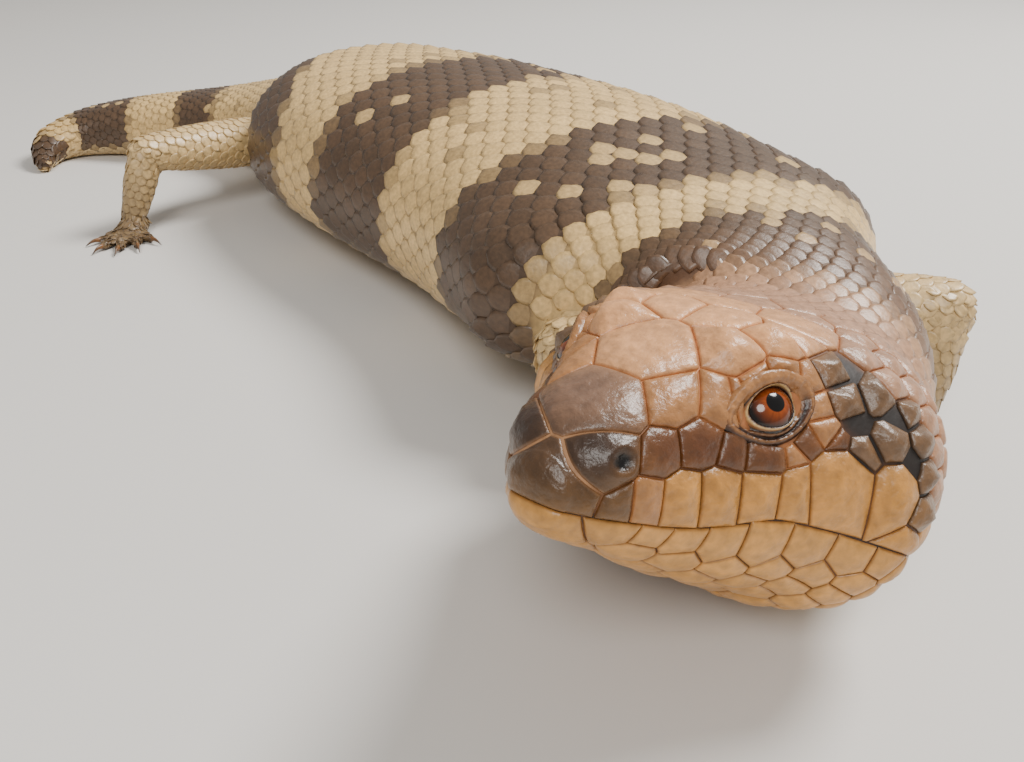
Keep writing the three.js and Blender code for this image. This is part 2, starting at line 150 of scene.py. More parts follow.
PALM_SWELL = 0.2
PALM_SHARE = 0.9
PALM_REACH = 1.4
HEEL_LEVEL = 0.75
HEEL_BACK = 0.6
HEEL_SHARE = 0.86

# Soft hills and hollows of the head: behind the snout, degrees from the crown, reach, height
HEAD_FORMS = [
    (21.5, 36.0, 3.4, 1.3),
    (20.6, 56.0, 2.8, -1.6),
    (13.0, 63.0, 3.4, -0.6),
    (3.6, 55.0, 2.2, 0.35),
    (29.0, 62.0, 3.2, -0.5),
    (33.0, 92.0, 5.0, 0.7),
]


def linear(red, green, blue):
    """Linear colour of the given screen colour."""
    screen = np.array([red, green, blue], float) / 255
    return np.where(screen <= 0.04045, screen / 12.92, ((screen + 0.055) / 1.055) ** 2.4)


# Colours of the animal, with those of the skin between the shields of each part of the head; the two
# near-black ones are painted shade for pits, grooves and nostrils, and dark sutures with painted shade in the
# deep gaps of the temples
TONES = {
    "band": linear(78, 58, 40),
    "cream": linear(204, 170, 112),
    "belly": linear(214, 186, 138),
    "tan": linear(156, 108, 66),
    "crown": linear(204, 148, 100),
    "snout": linear(44, 29, 20),
    "bridge": linear(108, 82, 66),
    "loreal": linear(76, 42, 22),
    "lip_front": linear(52, 34, 22),
    "lip": linear(188, 132, 62),
    "chin": linear(192, 138, 68),
    "temple": linear(98, 74, 52),
    "nape": linear(164, 124, 96),
    # Painted shade, used in the grooves of the lids, at the edge of the eye sockets and inside the nostrils
    "recess_shade": linear(12, 7, 5),
    "gap_snout": linear(158, 116, 80),
    "gap_crown": linear(170, 108, 64),
    "gap_lip": linear(96, 56, 26),
    # Skin between the temple scales: partly their own dark sutures, partly painted shade in the pits, round
    # the eyes and along the mouth
    "gap_temple_and_shade": linear(20, 12, 8),
    "leg": linear(210, 178, 124),
    "claw": linear(50, 38, 28),
    "pupil": linear(4, 3, 3),
    "iris_inner": linear(146, 66, 18),
    "iris_outer": linear(40, 18, 8),
    "eye_rim": linear(16, 8, 5),
}
GAP_TONES = {
    "snout": "gap_snout", "bridge": "gap_snout",
    "crown": "gap_crown", "tan": "gap_crown", "nape": "gap_crown",
    "loreal": "gap_lip", "lip_front": "gap_lip", "lip": "gap_lip", "chin": "gap_lip",
    "temple": "gap_temple_and_shade", "recess_shade": "gap_temple_and_shade", "eye": "gap_temple_and_shade",
}


def smooth_table(rows, column):
    """Function of one column of a table that passes through its rows and never overshoots them."""
    xs = np.array([row[0] for row in rows], float)
    ys = np.array([row[column] for row in rows], float)
    slopes = np.diff(ys) / np.diff(xs)
    before = np.r_[slopes[0], slopes]
    after = np.r_[slopes, slopes[-1]]
    total = np.where(before + after == 0, 1, before + after)
    tangents = np.where(before * after <= 0, 0, 2 * before * after / total)

    def value(x):
        x = np.clip(np.asarray(x, float), xs[0], xs[-1])
        i = np.clip(np.searchsorted(xs, x, side="right") - 1, 0, len(xs) - 2)
        width = xs[i + 1] - xs[i]
        t = (x - xs[i]) / width
        rise_in = t * (1 - t) ** 2 * width * tangents[i]
        rise_out = t * t * (t - 1) * width * tangents[i + 1]
        return ys[i] + (ys[i + 1] - ys[i]) * t * t * (3 - 2 * t) + rise_in + rise_out

    return value


def unit(vectors):
    """Vectors scaled to length 1."""
    length = np.linalg.norm(vectors, axis=-1, keepdims=True)
    return vectors / np.where(length == 0, 1, length)


def smoothstep(x):
    """Smooth rise from 0 to 1."""
    x = np.clip(x, 0, 1)
    return x * x * (3 - 2 * x)


def run_along(line):
    """Length along a line of points from its first point."""
    return np.r_[0, np.cumsum(np.linalg.norm(np.diff(line, axis=0), axis=1))]


def walk(distance, run, line):
    """Point at a distance along a line of points."""
    return np.array([np.interp(distance, run, line[:, axis]) for axis in range(3)])


def head_axes():
    """Forward, left and up of the head."""
    forward = np.array([
        math.cos(HEAD_ELEVATION) * math.cos(HEAD_AZIMUTH),
        math.cos(HEAD_ELEVATION) * math.sin(HEAD_AZIMUTH),
        math.sin(HEAD_ELEVATION),
    ])
    level = unit(np.cross([0, 0, 1], forward))
    left = level * math.cos(HEAD_ROLL) + np.cross(forward, level) * math.sin(HEAD_ROLL)
    return np.array([forward, left, np.cross(forward, left)])


HEAD_AXES = head_axes()


def head_to_row(points):
    """Points given behind the snout, to the left and over the lip line, in the row frame."""
    points = np.asarray(points, float)
    return HEAD_LIP + (points * [-1, 1, 1]) @ HEAD_AXES


def row_to_head(points):
    """Points of the row frame given behind the snout, to the left and over the lip line."""
    return ((np.asarray(points, float) - HEAD_LIP) @ HEAD_AXES.T) * [-1, 1, 1]


def floor_direction(degrees):
    """Unit vector on the floor plan."""
    angle = np.radians(degrees)
    return np.stack([np.cos(angle), np.sin(angle)], -1)


def head_columns(behind):
    """Half width, axis height, rise and drop of the head's sections."""
    width = smooth_table(HEAD_SECTIONS, 1)(behind)
    top = smooth_table(HEAD_SECTIONS, 2)(behind)
    bottom = smooth_table(HEAD_SECTIONS, 3)(behind)
    axis = (top - bottom) * AXIS_SHARE
    return width, axis, top - axis, bottom + axis


def body_path():
    """Positions and headings of the back on the floor plan, at even steps behind the nape."""
    _, axis, _, _ = head_columns(HEAD_LENGTH)
    nape = head_to_row([HEAD_LENGTH, 0, axis])[:2]
    head_way = floor_direction(math.degrees(HEAD_AZIMUTH))
    corners = [
        nape,
        nape - NECK_HANDLES[0] * head_way,
        SHOULDERS + NECK_HANDLES[1] * floor_direction(BODY_HEADINGS[0][1]),
        SHOULDERS,
    ]
    t = np.linspace(0, 1, NECK_POINTS)[:, None]
    curve = ((1 - t) ** 3 * corners[0] + 3 * (1 - t) ** 2 * t * corners[1]
             + 3 * (1 - t) * t * t * corners[2] + t ** 3 * corners[3])
    run = run_along(curve)
    neck_length = run[-1]
    stations = np.arange(0, TAIL_END + PATH_STEP, PATH_STEP)
    places = np.zeros((len(stations), 2))
    ways = np.zeros((len(stations), 2))
    on_neck = stations < neck_length
    tangents = unit(-np.gradient(curve, axis=0))
    heading = smooth_table(BODY_HEADINGS, 1)
    for k in range(2):
        places[on_neck, k] = np.interp(stations[on_neck], run, curve[:, k])
        ways[on_neck, k] = np.interp(stations[on_neck], run, tangents[:, k])
    behind = stations[~on_neck]
    steps = np.diff(np.r_[neck_length, behind])[:, None]
    middles = behind - steps[:, 0] / 2
    places[~on_neck] = SHOULDERS - np.cumsum(floor_direction(heading(middles)) * steps, axis=0)
    ways[~on_neck] = floor_direction(heading(behind))
    return stations, places, unit(ways)


PATH = body_path()


def sections(s):
    """Centres, left and up vectors, half widths, rises, drops and roundness at s mm behind the nape."""
    s = np.asarray(s, float)
    behind = np.minimum(s, 0) + HEAD_LENGTH
    head_width, head_axis, head_rise, head_drop = head_columns(behind)
    head_centre = head_to_row(np.stack([behind, 0 * behind, head_axis], -1))
    nape = head_columns(np.array(HEAD_LENGTH))
    nape_height = head_to_row([HEAD_LENGTH, 0, float(nape[1])])[2]
    rows = [(0, float(nape[0]), nape_height, float(nape[2]), float(nape[3]))] + BODY_SECTIONS
    width, height, rise, drop = [smooth_table(rows, column)(s) for column in (1, 2, 3, 4)]
    stations, places, ways = PATH
    place = np.stack([np.interp(s, stations, places[:, k]) for k in range(2)], -1)
    way = unit(np.stack([np.interp(s, stations, ways[:, k]) for k in range(2)], -1))
    upright = np.stack([-way[..., 1], way[..., 0], 0 * s], -1)
    turned = smoothstep(s / NECK_TURN_LENGTH)[..., None]
    left = unit(HEAD_AXES[1] * (1 - turned) + upright * turned)
    up = unit(HEAD_AXES[2] * (1 - turned) + np.array([0, 0, 1.0]) * turned)
    on_head = s <= 0
    centre = np.where(on_head[..., None], head_centre, np.concatenate([place, height[..., None]], -1))
    roundness = HEAD_ROUNDNESS + (BODY_ROUNDNESS - HEAD_ROUNDNESS) * turned[..., 0]
    return (centre, left, up, np.where(on_head, head_width, width), np.where(on_head, head_rise, rise),
            np.where(on_head, head_drop, drop), roundness)


def body_surface(s, angle, grow=0.0, floor=0.0):
    """Points of the surface. The angle is measured from the middle of the back towards the left."""
    centre, left, up, width, rise, drop, roundness = sections(s)
    power = 2 / roundness
    across = np.sign(np.sin(angle)) * np.abs(np.sin(angle)) ** power
    over = np.sign(np.cos(angle)) * np.abs(np.cos(angle)) ** power
    height = np.where(over > 0, rise, drop) + grow
    points = centre + left * (across * (width + grow))[..., None] + up * (over * height)[..., None]
    points[..., 2] = np.maximum(points[..., 2], floor)
    return points


def head_forms(local):
    """Height of the head's hills and hollows at points in head coordinates."""
    total = np.zeros(local.shape[:-1])
    for behind, degrees, reach, height in HEAD_FORMS:
        middle = head_spot(behind, degrees)
        for side in (1, -1):
            gap = np.linalg.norm(local - middle * [1, side, 1], axis=-1)
            total += height * np.exp(-0.5 * (gap / reach) ** 2)
    return total


def head_spot(behind, degrees, plain=True):
    """Point of the head's surface in head coordinates, without or with its hills and hollows."""
    s = np.array([behind - HEAD_LENGTH])
    angle = np.radians([float(degrees)])
    local = row_to_head(body_surface(s, angle))
    if not plain:
        local = row_to_head(body_surface(s, angle, head_forms(local)))
    return local[0]


def body_grid(stations, sides, depth=0.0):
    """Rings of the whole animal from a rounded snout on: points and stations."""
    angles = np.arange(sides + 1) / sides * TAU
    s = np.broadcast_to(np.asarray(stations, float)[:, None], (len(stations), sides + 1))
    angle = np.broadcast_to(angles[None, :], s.shape)
    forms = head_forms(row_to_head(body_surface(s, angle)))
    points = body_surface(s, angle, forms - depth, depth)
    first = points[0]
    middle = first[:-1].mean(axis=0)
    turns = (np.arange(SNOUT_STEPS) + SNOUT_POLE_SHARE) / SNOUT_STEPS * math.pi / 2
    caps = [middle + HEAD_AXES[0] * (SNOUT_BULGE - depth) * math.cos(turn) + (first - middle) * math.sin(turn)
            for turn in turns]
    cap_s = s[0, 0] - SNOUT_BULGE * np.linspace(1, SNOUT_MAP_END, SNOUT_STEPS)
    cap_s = np.broadcast_to(cap_s[:, None], (SNOUT_STEPS, sides + 1))
    return np.concatenate([np.array(caps), points]), np.concatenate([cap_s, s])


def around(points):
    """Length round each ring from its first point."""
    steps = np.linalg.norm(np.diff(points, axis=1), axis=2)
    return np.concatenate([np.zeros((len(points), 1)), np.cumsum(steps, axis=1)], axis=1)


def half_around(points):
    """Length round each ring from the middle of the back, negative on the right, and the whole girth."""
    run = around(points)
    girth = run[:, -1:]
    return np.where(run > girth / 2, run - girth, run), girth


def grid_normals(points):
    """Outward normals of a grid whose columns run round from the back towards the left."""
    along = np.gradient(points, axis=0)
    ring = points[:, :-1]
    round_ring = np.roll(ring, -1, axis=1) - np.roll(ring, 1, axis=1)
    round_ring = np.concatenate([round_ring, round_ring[:, :1]], axis=1)
    normals = unit(np.cross(along, round_ring))
    centre = ring.mean(axis=1, keepdims=True)
    facing = np.sum(normals * (points - centre), axis=-1)
    return np.where(facing[..., None] < 0, -normals, normals)


# Unwrap of the skin: each tube has its own place on the map
MAP_SCALE = 0.0027
MAP_EDGE = 0.001
BODY_CHART = (0.02, 0.30)
LIMB_CHARTS = ((0.02, 0.66), (0.26, 0.66), (0.50, 0.66), (0.74, 0.66))
MAP_MARGIN = 2
TUBE_MARGIN = 0.02
UPPER_LIMB_OFFSET = (0.0, 0.0)
LOWER_LIMB_OFFSET = (0.105, 0.0)
FOOT_OFFSET = (0.0, 0.20)
TOE_OFFSETS = ((0.05, 0.19), (0.10, 0.19), (0.15, 0.19), (0.05, 0.25), (0.10, 0.25))

# Tubes of the limbs: sides, steps of their round ends, and the length of a step
TUBE_SIDES = {"upper": 32, "lower": 28, "palm": 24, "toe": 14}
END_STEPS = 4
END_POLE_SHARE = 0.12
TUBE_STEP = 1.2
TOE_STEP_SHARE = 0.6
UPRIGHT = 0.9


def body_map(s, half):
    """Place on the map at s mm behind the nape and half mm from the middle of the back."""
    u = BODY_CHART[0] + (s + HEAD_LENGTH + MAP_MARGIN) * MAP_SCALE
    return np.stack([u, BODY_CHART[1] + half * MAP_SCALE], -1)


def limb_map(tube, along, run):
    """Place on the map at mm along a tube and run mm round it."""
    u = tube["chart"][0] + TUBE_MARGIN + along * MAP_SCALE
    return np.stack([u, tube["chart"][1] + run * MAP_SCALE], -1)


def limb_tube(start, end, radius_start, radius_end, swell, sides, step, depth, flat=1.0):
    """Tapered tube with round ends: points, length along it and direction."""
    start = np.array(start, float)
    end = np.array(end, float)
    axis = unit(end - start)
    length = np.linalg.norm(end - start)
    helper = np.array([0, 0, 1.0]) if abs(axis[2]) < UPRIGHT else np.array([1.0, 0, 0])
    side = unit(np.cross(helper, axis))
    over = np.cross(axis, side)
    a = radius_start - depth
    b = radius_end - depth
    turns = (np.arange(END_STEPS + 1) + END_POLE_SHARE) / (END_STEPS + END_POLE_SHARE) * math.pi / 2
    outline = [(a * math.sin(turn), -a * math.cos(turn)) for turn in turns]
    count = max(2, int(round(length / step)))
    for i in range(1, count):
        t = i / count
        outline.append((a + (b - a) * t + swell * math.sin(math.pi * t), length * t))
    outline += [(b * math.sin(turn), length + b * math.cos(turn)) for turn in turns[::-1]]
    outline = np.array(outline)
    angles = np.arange(sides + 1) / sides * TAU
    ring = side * np.sin(angles)[:, None] + over * np.cos(angles)[:, None] * flat
    points = start + ring[None] * outline[:, 0, None, None] + axis * outline[:, 1, None, None]
    points[..., 2] = np.maximum(points[..., 2], depth)
    return points, outline[:, 1], axis


def toe_points(limb, index):
    """Root and tip of a toe's axis."""
    aim = floor_direction(limb["aim"])
    centre = np.array(limb["joints"][2][:2]) + PALM_FORWARD * aim
    way = floor_direction(limb["aim"] + limb["side"] * TOE_SPREAD[index])
    reach = (TOE_START, TOE_START + limb["toes"][index])
    return [np.r_[centre + way * reach[k], TOE_HEIGHTS[k]] for k in range(2)], way


def limb_part(kind, chart, offset, ends, radii, swell, *sizes):
    """One tube of a limb with its kind and its place on the map."""
    points, run, axis = limb_tube(*ends, *radii, swell, TUBE_SIDES[kind], *sizes)
    place = (chart[0] + offset[0], chart[1] + offset[1])
    return {"points": points, "run": run, "axis": axis, "chart": place, "kind": kind}


def tubes(depth, toe_depth, step=TUBE_STEP):
    """All tubes of the limbs."""
    found = []
    for limb, chart in zip(LIMBS, LIMB_CHARTS):
        root, bend, end = [np.array(joint, float) for joint in limb["joints"]]
        thick, middle, thin = limb["radii"]
        aim = np.r_[floor_direction(limb["aim"]), 0]
        heel = np.array([end[0], end[1], PALM_HEIGHT * HEEL_LEVEL]) - aim * HEEL_BACK
        palm = heel + aim * (PALM_FORWARD + PALM_REACH)
        palm_radii = (PALM_RADIUS * HEEL_SHARE, PALM_RADIUS * PALM_SHARE)
        toe_radii = (TOE_RADIUS * TOE_ROOT_SHARE, TOE_RADIUS * TOE_TIP_SHARE)
        found.append(limb_part("upper", chart, UPPER_LIMB_OFFSET, (root, bend), (thick, middle),
                               UPPER_SWELL, step, depth))
        found.append(limb_part("lower", chart, LOWER_LIMB_OFFSET, (bend, end),
                               (middle * LOWER_LIMB_SHARE, thin), LOWER_SWELL, step, depth))
        found.append(limb_part("palm", chart, FOOT_OFFSET, (heel, palm), palm_radii,
                               PALM_SWELL, step, depth, PALM_HEIGHT / PALM_RADIUS))
        for index, offset in enumerate(TOE_OFFSETS):
            found.append(limb_part("toe", chart, offset, toe_points(limb, index)[0], toe_radii,
                                   0, step * TOE_STEP_SHARE, toe_depth))
    return found


# Markings
# Dark bands over the back and tail, in mm behind the nape: front and rear on the back, then on the flank
DARK_BANDS = [
    (13, 33, 12, 31),
    (45, 72, 41, 71),
    (107, 136, 101, 133),
    (181, 207, 150, 204),
    (232, 246, 231, 246),
    (262, 282, 262, 282),
    (292, 330, 290, 330),
]
BAND_SOFTNESS = 1.6
# Shares of the way from the middle of the back to that of the belly, with widths of fades
FLANK = 0.45
BACK = 0.32
BELLY = (0.55, 0.2)
BAND_END = (0.60, 0.14)
# Stray scales: luck past which a scale is pale in a dark band or dark in a pale one, and its darkness
BAND_EDGE_SPREAD = 2.0
PALE_FLECK = (0.91, 0.35)
DARK_FLECK = (0.07, 0.4)
IN_BAND = 0.5
OFF_BAND = 0.3
CREAM_SHADES = (0.92, 0.16)
BAND_SHADES = (0.88, 0.3)
NAPE_FADE = (34, 30)
NAPE_IN_BANDS = 0.35
# Darkness of each part of a limb at its two ends
LIMB_SHADES = {"upper": (0.0, 0.12), "lower": (0.2, 0.75), "palm": (0.75, 0.85), "toe": (0.8, 0.9)}
LIMB_SPREAD = 0.25
LEG_SHADES = (0.9, 0.2)
DARKEST_LIMB = 0.95


def band_share(s, q):
    """Darkness at s mm behind the nape and q of the way from the back to the belly, left positive."""
    share = np.zeros(np.shape(s))
    fall = smoothstep(np.abs(q) / FLANK)
    for back_front, back_rear, flank_front, flank_rear in DARK_BANDS:
        front = back_front + (flank_front - back_front) * fall
        rear = back_rear + (flank_rear - back_rear) * fall
        inside = np.minimum(s - front, rear - s)
        share = np.maximum(share, smoothstep(inside / BAND_SOFTNESS * 0.5 + 0.5))
    return share * (1 - smoothstep((np.abs(q) - BAND_END[0]) / BAND_END[1]))


def mixed_tone(first, second, share):
    """Colour between two others."""
    return first * (1 - share) + second * share


def body_tone(s, q, luck):
    """Colour of a scale of the body. Luck is a number from 0 to 1 that differs from scale to scale."""
    s = np.asarray(s, float)
    dark = band_share(s + (luck - 0.5) * BAND_EDGE_SPREAD, q)
    on_back = np.abs(q) < BACK
    dark = np.where((dark > IN_BAND) & (luck > PALE_FLECK[0]) & on_back, PALE_FLECK[1], dark)
    dark = np.where((dark < OFF_BAND) & (luck < DARK_FLECK[0]) & on_back, DARK_FLECK[1], dark)[..., None]
    near_nape = smoothstep((NAPE_FADE[0] - s) / NAPE_FADE[1])[..., None]
    under = smoothstep((np.abs(q) - BELLY[0]) / BELLY[1])[..., None]
    cream = TONES["cream"] * (CREAM_SHADES[0] + CREAM_SHADES[1] * luck[..., None])
    pale = mixed_tone(cream, TONES["nape"], near_nape)
    pale = mixed_tone(pale, TONES["belly"], under)
    deep = TONES["band"] * (BAND_SHADES[0] + BAND_SHADES[1] * luck[..., None])
    deep = mixed_tone(deep, TONES["nape"], NAPE_IN_BANDS * near_nape)
    return mixed_tone(pale, deep, dark)


def limb_tone(kind, share, luck):
    """Colour of a scale of a limb: pale above, darker towards the foot."""
    start, end = LIMB_SHADES[kind]
    dark = np.clip(start + (end - start) * share + (luck - 0.5) * LIMB_SPREAD, 0, DARKEST_LIMB)[..., None]
    pale = TONES["leg"] * (LEG_SHADES[0] + LEG_SHADES[1] * luck[..., None])
    return mixed_tone(pale, TONES["band"], dark)


def link_object(name, data):
    """New object in the scene."""
    made = bpy.data.objects.new(name, data)
    bpy.context.scene.collection.objects.link(made)
    return made


def smooth_faces(mesh):
    """Shades all faces of a mesh smooth."""
    mesh.polygons.foreach_set("use_smooth", np.ones(len(mesh.polygons), bool))
    mesh.update()


def new_object(name, vertices, faces):
    """Mesh object from points in millimetres."""
    mesh = bpy.data.meshes.new(name)
    mesh.from_pydata([tuple(v) for v in np.asarray(vertices, float) * MM], [], [tuple(f) for f in faces])
    smooth_faces(mesh)
    return link_object(name, mesh)


def grid_faces(rows, columns, offset=0, capped=False):
    """Quads of a closed tube of rings, with one face at each end when capped."""
    faces = []
    for r in range(rows - 1):
        for c in range(columns):
            d = (c + 1) % columns
            faces.append((offset + r * columns + c, offset + (r + 1) * columns + c,
                          offset + (r + 1) * columns + d, offset + r * columns + d))
    if capped:
        faces.append(tuple(offset + c for c in range(columns)))
        faces.append(tuple(offset + (rows - 1) * columns + c for c in reversed(range(columns))))
    return faces


def set_tone(mesh, colours):
    """Point colours that the materials read."""
    layer = mesh.attributes.new("tone", "FLOAT_COLOR", "POINT")
    rgba = np.ones((len(mesh.vertices), 4))
    rgba[:, :3] = colours
    layer.data.foreach_set("color", rgba.ravel())


def set_map(mesh, corners):
    """The map for baking, one place for each corner of each face."""
    layer = mesh.uv_layers.new(name="OFBake")
    layer.data.foreach_set("uv", np.clip(corners, MAP_EDGE, 1 - MAP_EDGE).ravel())


def mesh_points(mesh):
    """Vertices in millimetres."""
    flat = np.empty(len(mesh.vertices) * 3)
    mesh.vertices.foreach_get("co", flat)
    return flat.reshape(-1, 3) / MM


def corner_vertices(mesh):
    """Vertex of each corner."""
    flat = np.empty(len(mesh.loops), int)
    mesh.loops.foreach_get("vertex_index", flat)
    return flat


def evaluated_mesh(thing):
    """Plain mesh of an object with its modifiers applied."""
    graph = bpy.context.evaluated_depsgraph_get()
    graph.update()
    return bpy.data.meshes.new_from_object(thing.evaluated_get(graph))


def drop_object(thing):
    """Removes a helper and its mesh."""
    mesh = thing.data
    bpy.data.objects.remove(thing)
    if mesh.users == 0:
        bpy.data.meshes.remove(mesh)


def set_inputs(tree, node, inputs):
    """Sets inputs of a node to values, or links them to outputs of other nodes."""
    for name, value in inputs.items():
        if isinstance(value, bpy.types.NodeSocket):
            tree.links.new(value, node.inputs[name])
        else:
            node.inputs[name].default_value = value


def add_node(tree, kind, inputs=None, **settings):
    """New node with its settings and inputs."""
    node = tree.nodes.new(kind)
    for name, value in settings.items():
        setattr(node, name, value)
    set_inputs(tree, node, inputs or {})
    return node


# Materials
GRAIN_DETAIL = 6
GRAIN_RANGE = (0.3, 0.7)
BUMP_DEPTH = 0.0003
COAT_ROUGHNESS = 0.25
# Painted shade along the line of the mouth: its width, and how far past the mouth's corner it ends and how
# long it fades
MOUTH_SHADE_WIDTH = 0.5
MOUTH_SHADE_END = (3, 2)
GAP_TONE_BLUR = 1.0
# Name, roughness, fineness of the grain, relief of the grain, coat and contrast of the grain
MATERIALS = {
    "skin": ("skin_under_scales", 0.6, 900, 0.3, 0.0, 0.22),
    "scales": ("body_scales", 0.40, 1400, 0.25, 0.15, 0.22),
    "shields": ("head_shields", 0.33, 800, 1.0, 0.1, 0.22),
    "lips": ("lip_scales", 0.38, 800, 0.6, 0.1, 0.22),
    "eye": ("wet_eye", 0.12, 2500, 0.0, 0.0, 0.08),
    "claw": ("claw_horn", 0.35, 1500, 0.2, 0.0, 0.22),
}


def make_material(name, roughness, grain, bump, coat, contrast):
    """Material that takes its colour from the tone of each scale, with fine grain over it."""
    material = bpy.data.materials.new(name)
    material.use_nodes = True
    tree = material.node_tree
    tone = add_node(tree, "ShaderNodeAttribute", attribute_name="tone")
    place = add_node(tree, "ShaderNodeTexCoord")
    noise = add_node(tree, "ShaderNodeTexNoise",
                     {"Scale": grain, "Detail": GRAIN_DETAIL, "Vector": place.outputs["Object"]})
    spread = add_node(tree, "ShaderNodeMapRange",
                      {"From Min": GRAIN_RANGE[0], "From Max": GRAIN_RANGE[1], "To Min": 1 - contrast,
                       "To Max": 1 + contrast, "Value": noise.outputs["Fac"]})
    mix = add_node(tree, "ShaderNodeVectorMath",
                   {0: tone.outputs["Color"], "Scale": spread.outputs["Result"]}, operation="SCALE")
    relief = add_node(tree, "ShaderNodeBump",
                      {"Strength": bump, "Distance": BUMP_DEPTH, "Height": noise.outputs["Fac"]})
    set_inputs(tree, tree.nodes["Principled BSDF"],
               {"Base Color": mix.outputs["Vector"], "Normal": relief.outputs["Normal"],
                "Roughness": roughness, "Coat Weight": coat, "Coat Roughness": COAT_ROUGHNESS})
    return material


def head_gap_tone(local):
    """Colour of the skin between the shields of the head, with painted shade along the line of the mouth."""
    seeds = shield_seeds(np.random.default_rng(0))
    centres = np.array([seed[0] for seed in seeds])
    colours = np.array([TONES[GAP_TONES[seed[2]]] for seed in seeds])
    flat = local.reshape(-1, 3)
    gaps = ((flat[:, None] - centres[None]) ** 2).sum(-1)
    weights = 1 / (gaps + GAP_TONE_BLUR) ** 3
    mixed = (weights @ colours) / weights.sum(axis=1, keepdims=True)
    mouth_painted_shade = np.exp(-(over_lip(flat) / MOUTH_SHADE_WIDTH) ** 2)
    mouth_painted_shade *= smoothstep((MOUTH_CORNER + MOUTH_SHADE_END[0] - flat[:, 0]) / MOUTH_SHADE_END[1])
    return mixed_tone(mixed, TONES["gap_temple_and_shade"], mouth_painted_shade[:, None]).reshape(local.shape)


# Skin
SKIN_STEPS = (0.8, 1.5)
SKIN_SIDES = 120
SKIN_SHADE = 0.8
SKIN_SOFTENING = 0.5
MEAN_LUCK = 0.5
NAPE_BLEND = (1, 3)
TINY = 1e-9


class Charts:
    """Tubes of the unwrapped skin, for looking up map places and colours near a point."""

    def __init__(self, depth, toe_depth):
        self.grids = []
        stations = np.r_[np.arange(SNOUT_FRONT - HEAD_LENGTH, 0, SKIN_STEPS[0]),
                         np.arange(0, TAIL_END + 0.1, SKIN_STEPS[1])]
        points, s = body_grid(stations, SKIN_SIDES, depth)
        half, girth = half_around(points)
        colours = body_tone(s, half / (girth / 2), np.full(s.shape, MEAN_LUCK)) * SKIN_SHADE
        on_head = smoothstep((-s - NAPE_BLEND[0]) / NAPE_BLEND[1])[..., None]
        colours = mixed_tone(colours, head_gap_tone(row_to_head(points)), on_head)
        self.add(points, body_map(s, half), colours)
        for tube in tubes(depth, toe_depth):
            run = around(tube["points"])
            along = np.broadcast_to(tube["run"][:, None], run.shape)
            share = np.clip(along / max(tube["run"]), 0, 1)
            colours = limb_tone(tube["kind"], share, np.full(run.shape, MEAN_LUCK)) * SKIN_SHADE
            self.add(tube["points"], limb_map(tube, along, run), colours)

    def add(self, points, places, colours):
        """Adds a tube with the map places and colours of its points."""
        rows, columns = points.shape[:2]
        faces = []
        for r in range(rows - 1):
            for c in range(columns - 1):
                first = r * columns + c
                faces.append((first, first + columns, first + columns + 1, first + 1))
        tree = BVHTree.FromPolygons([Vector(p) for p in points.reshape(-1, 3)], faces)
        span = around(points)[:, -1] * MAP_SCALE
        self.grids.append({"points": points, "map": places, "tone": colours, "span": span, "tree": tree})

    def source(self):
        """Vertices and faces of all tubes, each closed."""
        vertices = []
        faces = []
        for grid in self.grids:
            rings = grid["points"][:, :-1]
            faces += grid_faces(rings.shape[0], rings.shape[1], len(vertices), True)
            vertices += list(rings.reshape(-1, 3))
        return np.array(vertices), faces

    def nearest(self, point, only=None):
        """Number of the nearest tube, or of the given one, with its map place, colour and span on the map."""
        best = None
        for index in range(len(self.grids)) if only is None else (only,):
            hit = self.grids[index]["tree"].find_nearest(point, 1e9 if best is None else best[3])
            if hit[0] is not None and (best is None or hit[3] < best[3]):
                best = (index, hit[0], hit[2], hit[3])
        index, place, face, _ = best
        grid = self.grids[index]
        r, c = divmod(face, grid["points"].shape[1] - 1)
        corner = grid["points"][r, c]
        along = grid["points"][r + 1, c] - corner
        across = grid["points"][r, c + 1] - corner
        step = np.array(place) - corner
        a = min(max(step @ along / max(along @ along, TINY), 0), 1)
        b = min(max(step @ across / max(across @ across, TINY), 0), 1)

        def mixed(field):
            return ((1 - a) * ((1 - b) * field[r, c] + b * field[r, c + 1])
                    + a * ((1 - b) * field[r + 1, c] + b * field[r + 1, c + 1]))

        u, v = mixed(grid["map"])
        v_low, v_high = grid["map"][r, c:c + 2, 1]
        if abs(v_high - v_low) > grid["span"][r] / 2:
            v = v_low if b < 0.5 else v_high
        return index, u, v, mixed(grid["tone"]), grid["span"][r]


def build_skin(settings):
    """One closed skin over head, trunk, tail and legs."""
    charts = Charts(settings.coat_depth / MM, settings.toe_coat_depth / MM)
    rough = new_object("skin_source", *charts.source())
    joined = rough.modifiers.new("Join", "REMESH")
    joined.mode = "VOXEL"
    joined.voxel_size = settings.skin_cell
    soft = rough.modifiers.new("Soften", "SMOOTH")
    soft.factor = SKIN_SOFTENING
    soft.iterations = settings.skin_softening
    mesh = evaluated_mesh(rough)
    drop_object(rough)
    mesh.name = "skin"
    smooth_faces(mesh)
    points = mesh_points(mesh)
    found = [charts.nearest(Vector(p)) for p in points]
    set_tone(mesh, np.array([item[3] for item in found]))
    corners = np.empty((len(mesh.loops), 2))
    for polygon in mesh.polygons:
        items = [found[v] for v in polygon.vertices]
        if len({item[0] for item in items}) > 1:
            chart = charts.nearest(polygon.center / MM)[0]
            items = [item if item[0] == chart else charts.nearest(Vector(points[v]), chart)
                     for item, v in zip(items, polygon.vertices)]
        base = items[0][2]
        for loop, (_, u, v, _, span) in zip(polygon.loop_indices, items):
            if v - base > span / 2:
                v -= span
            elif base - v > span / 2:
                v += span
            corners[loop] = (u, v)
    set_map(mesh, corners)
    return link_object("skin", mesh)


def skin_tree(skin):
    """Search tree of the skin in millimetres."""
    points = [Vector(p) for p in mesh_points(skin.data)]
    return BVHTree.FromPolygons(points, [tuple(p.vertices) for p in skin.data.polygons])


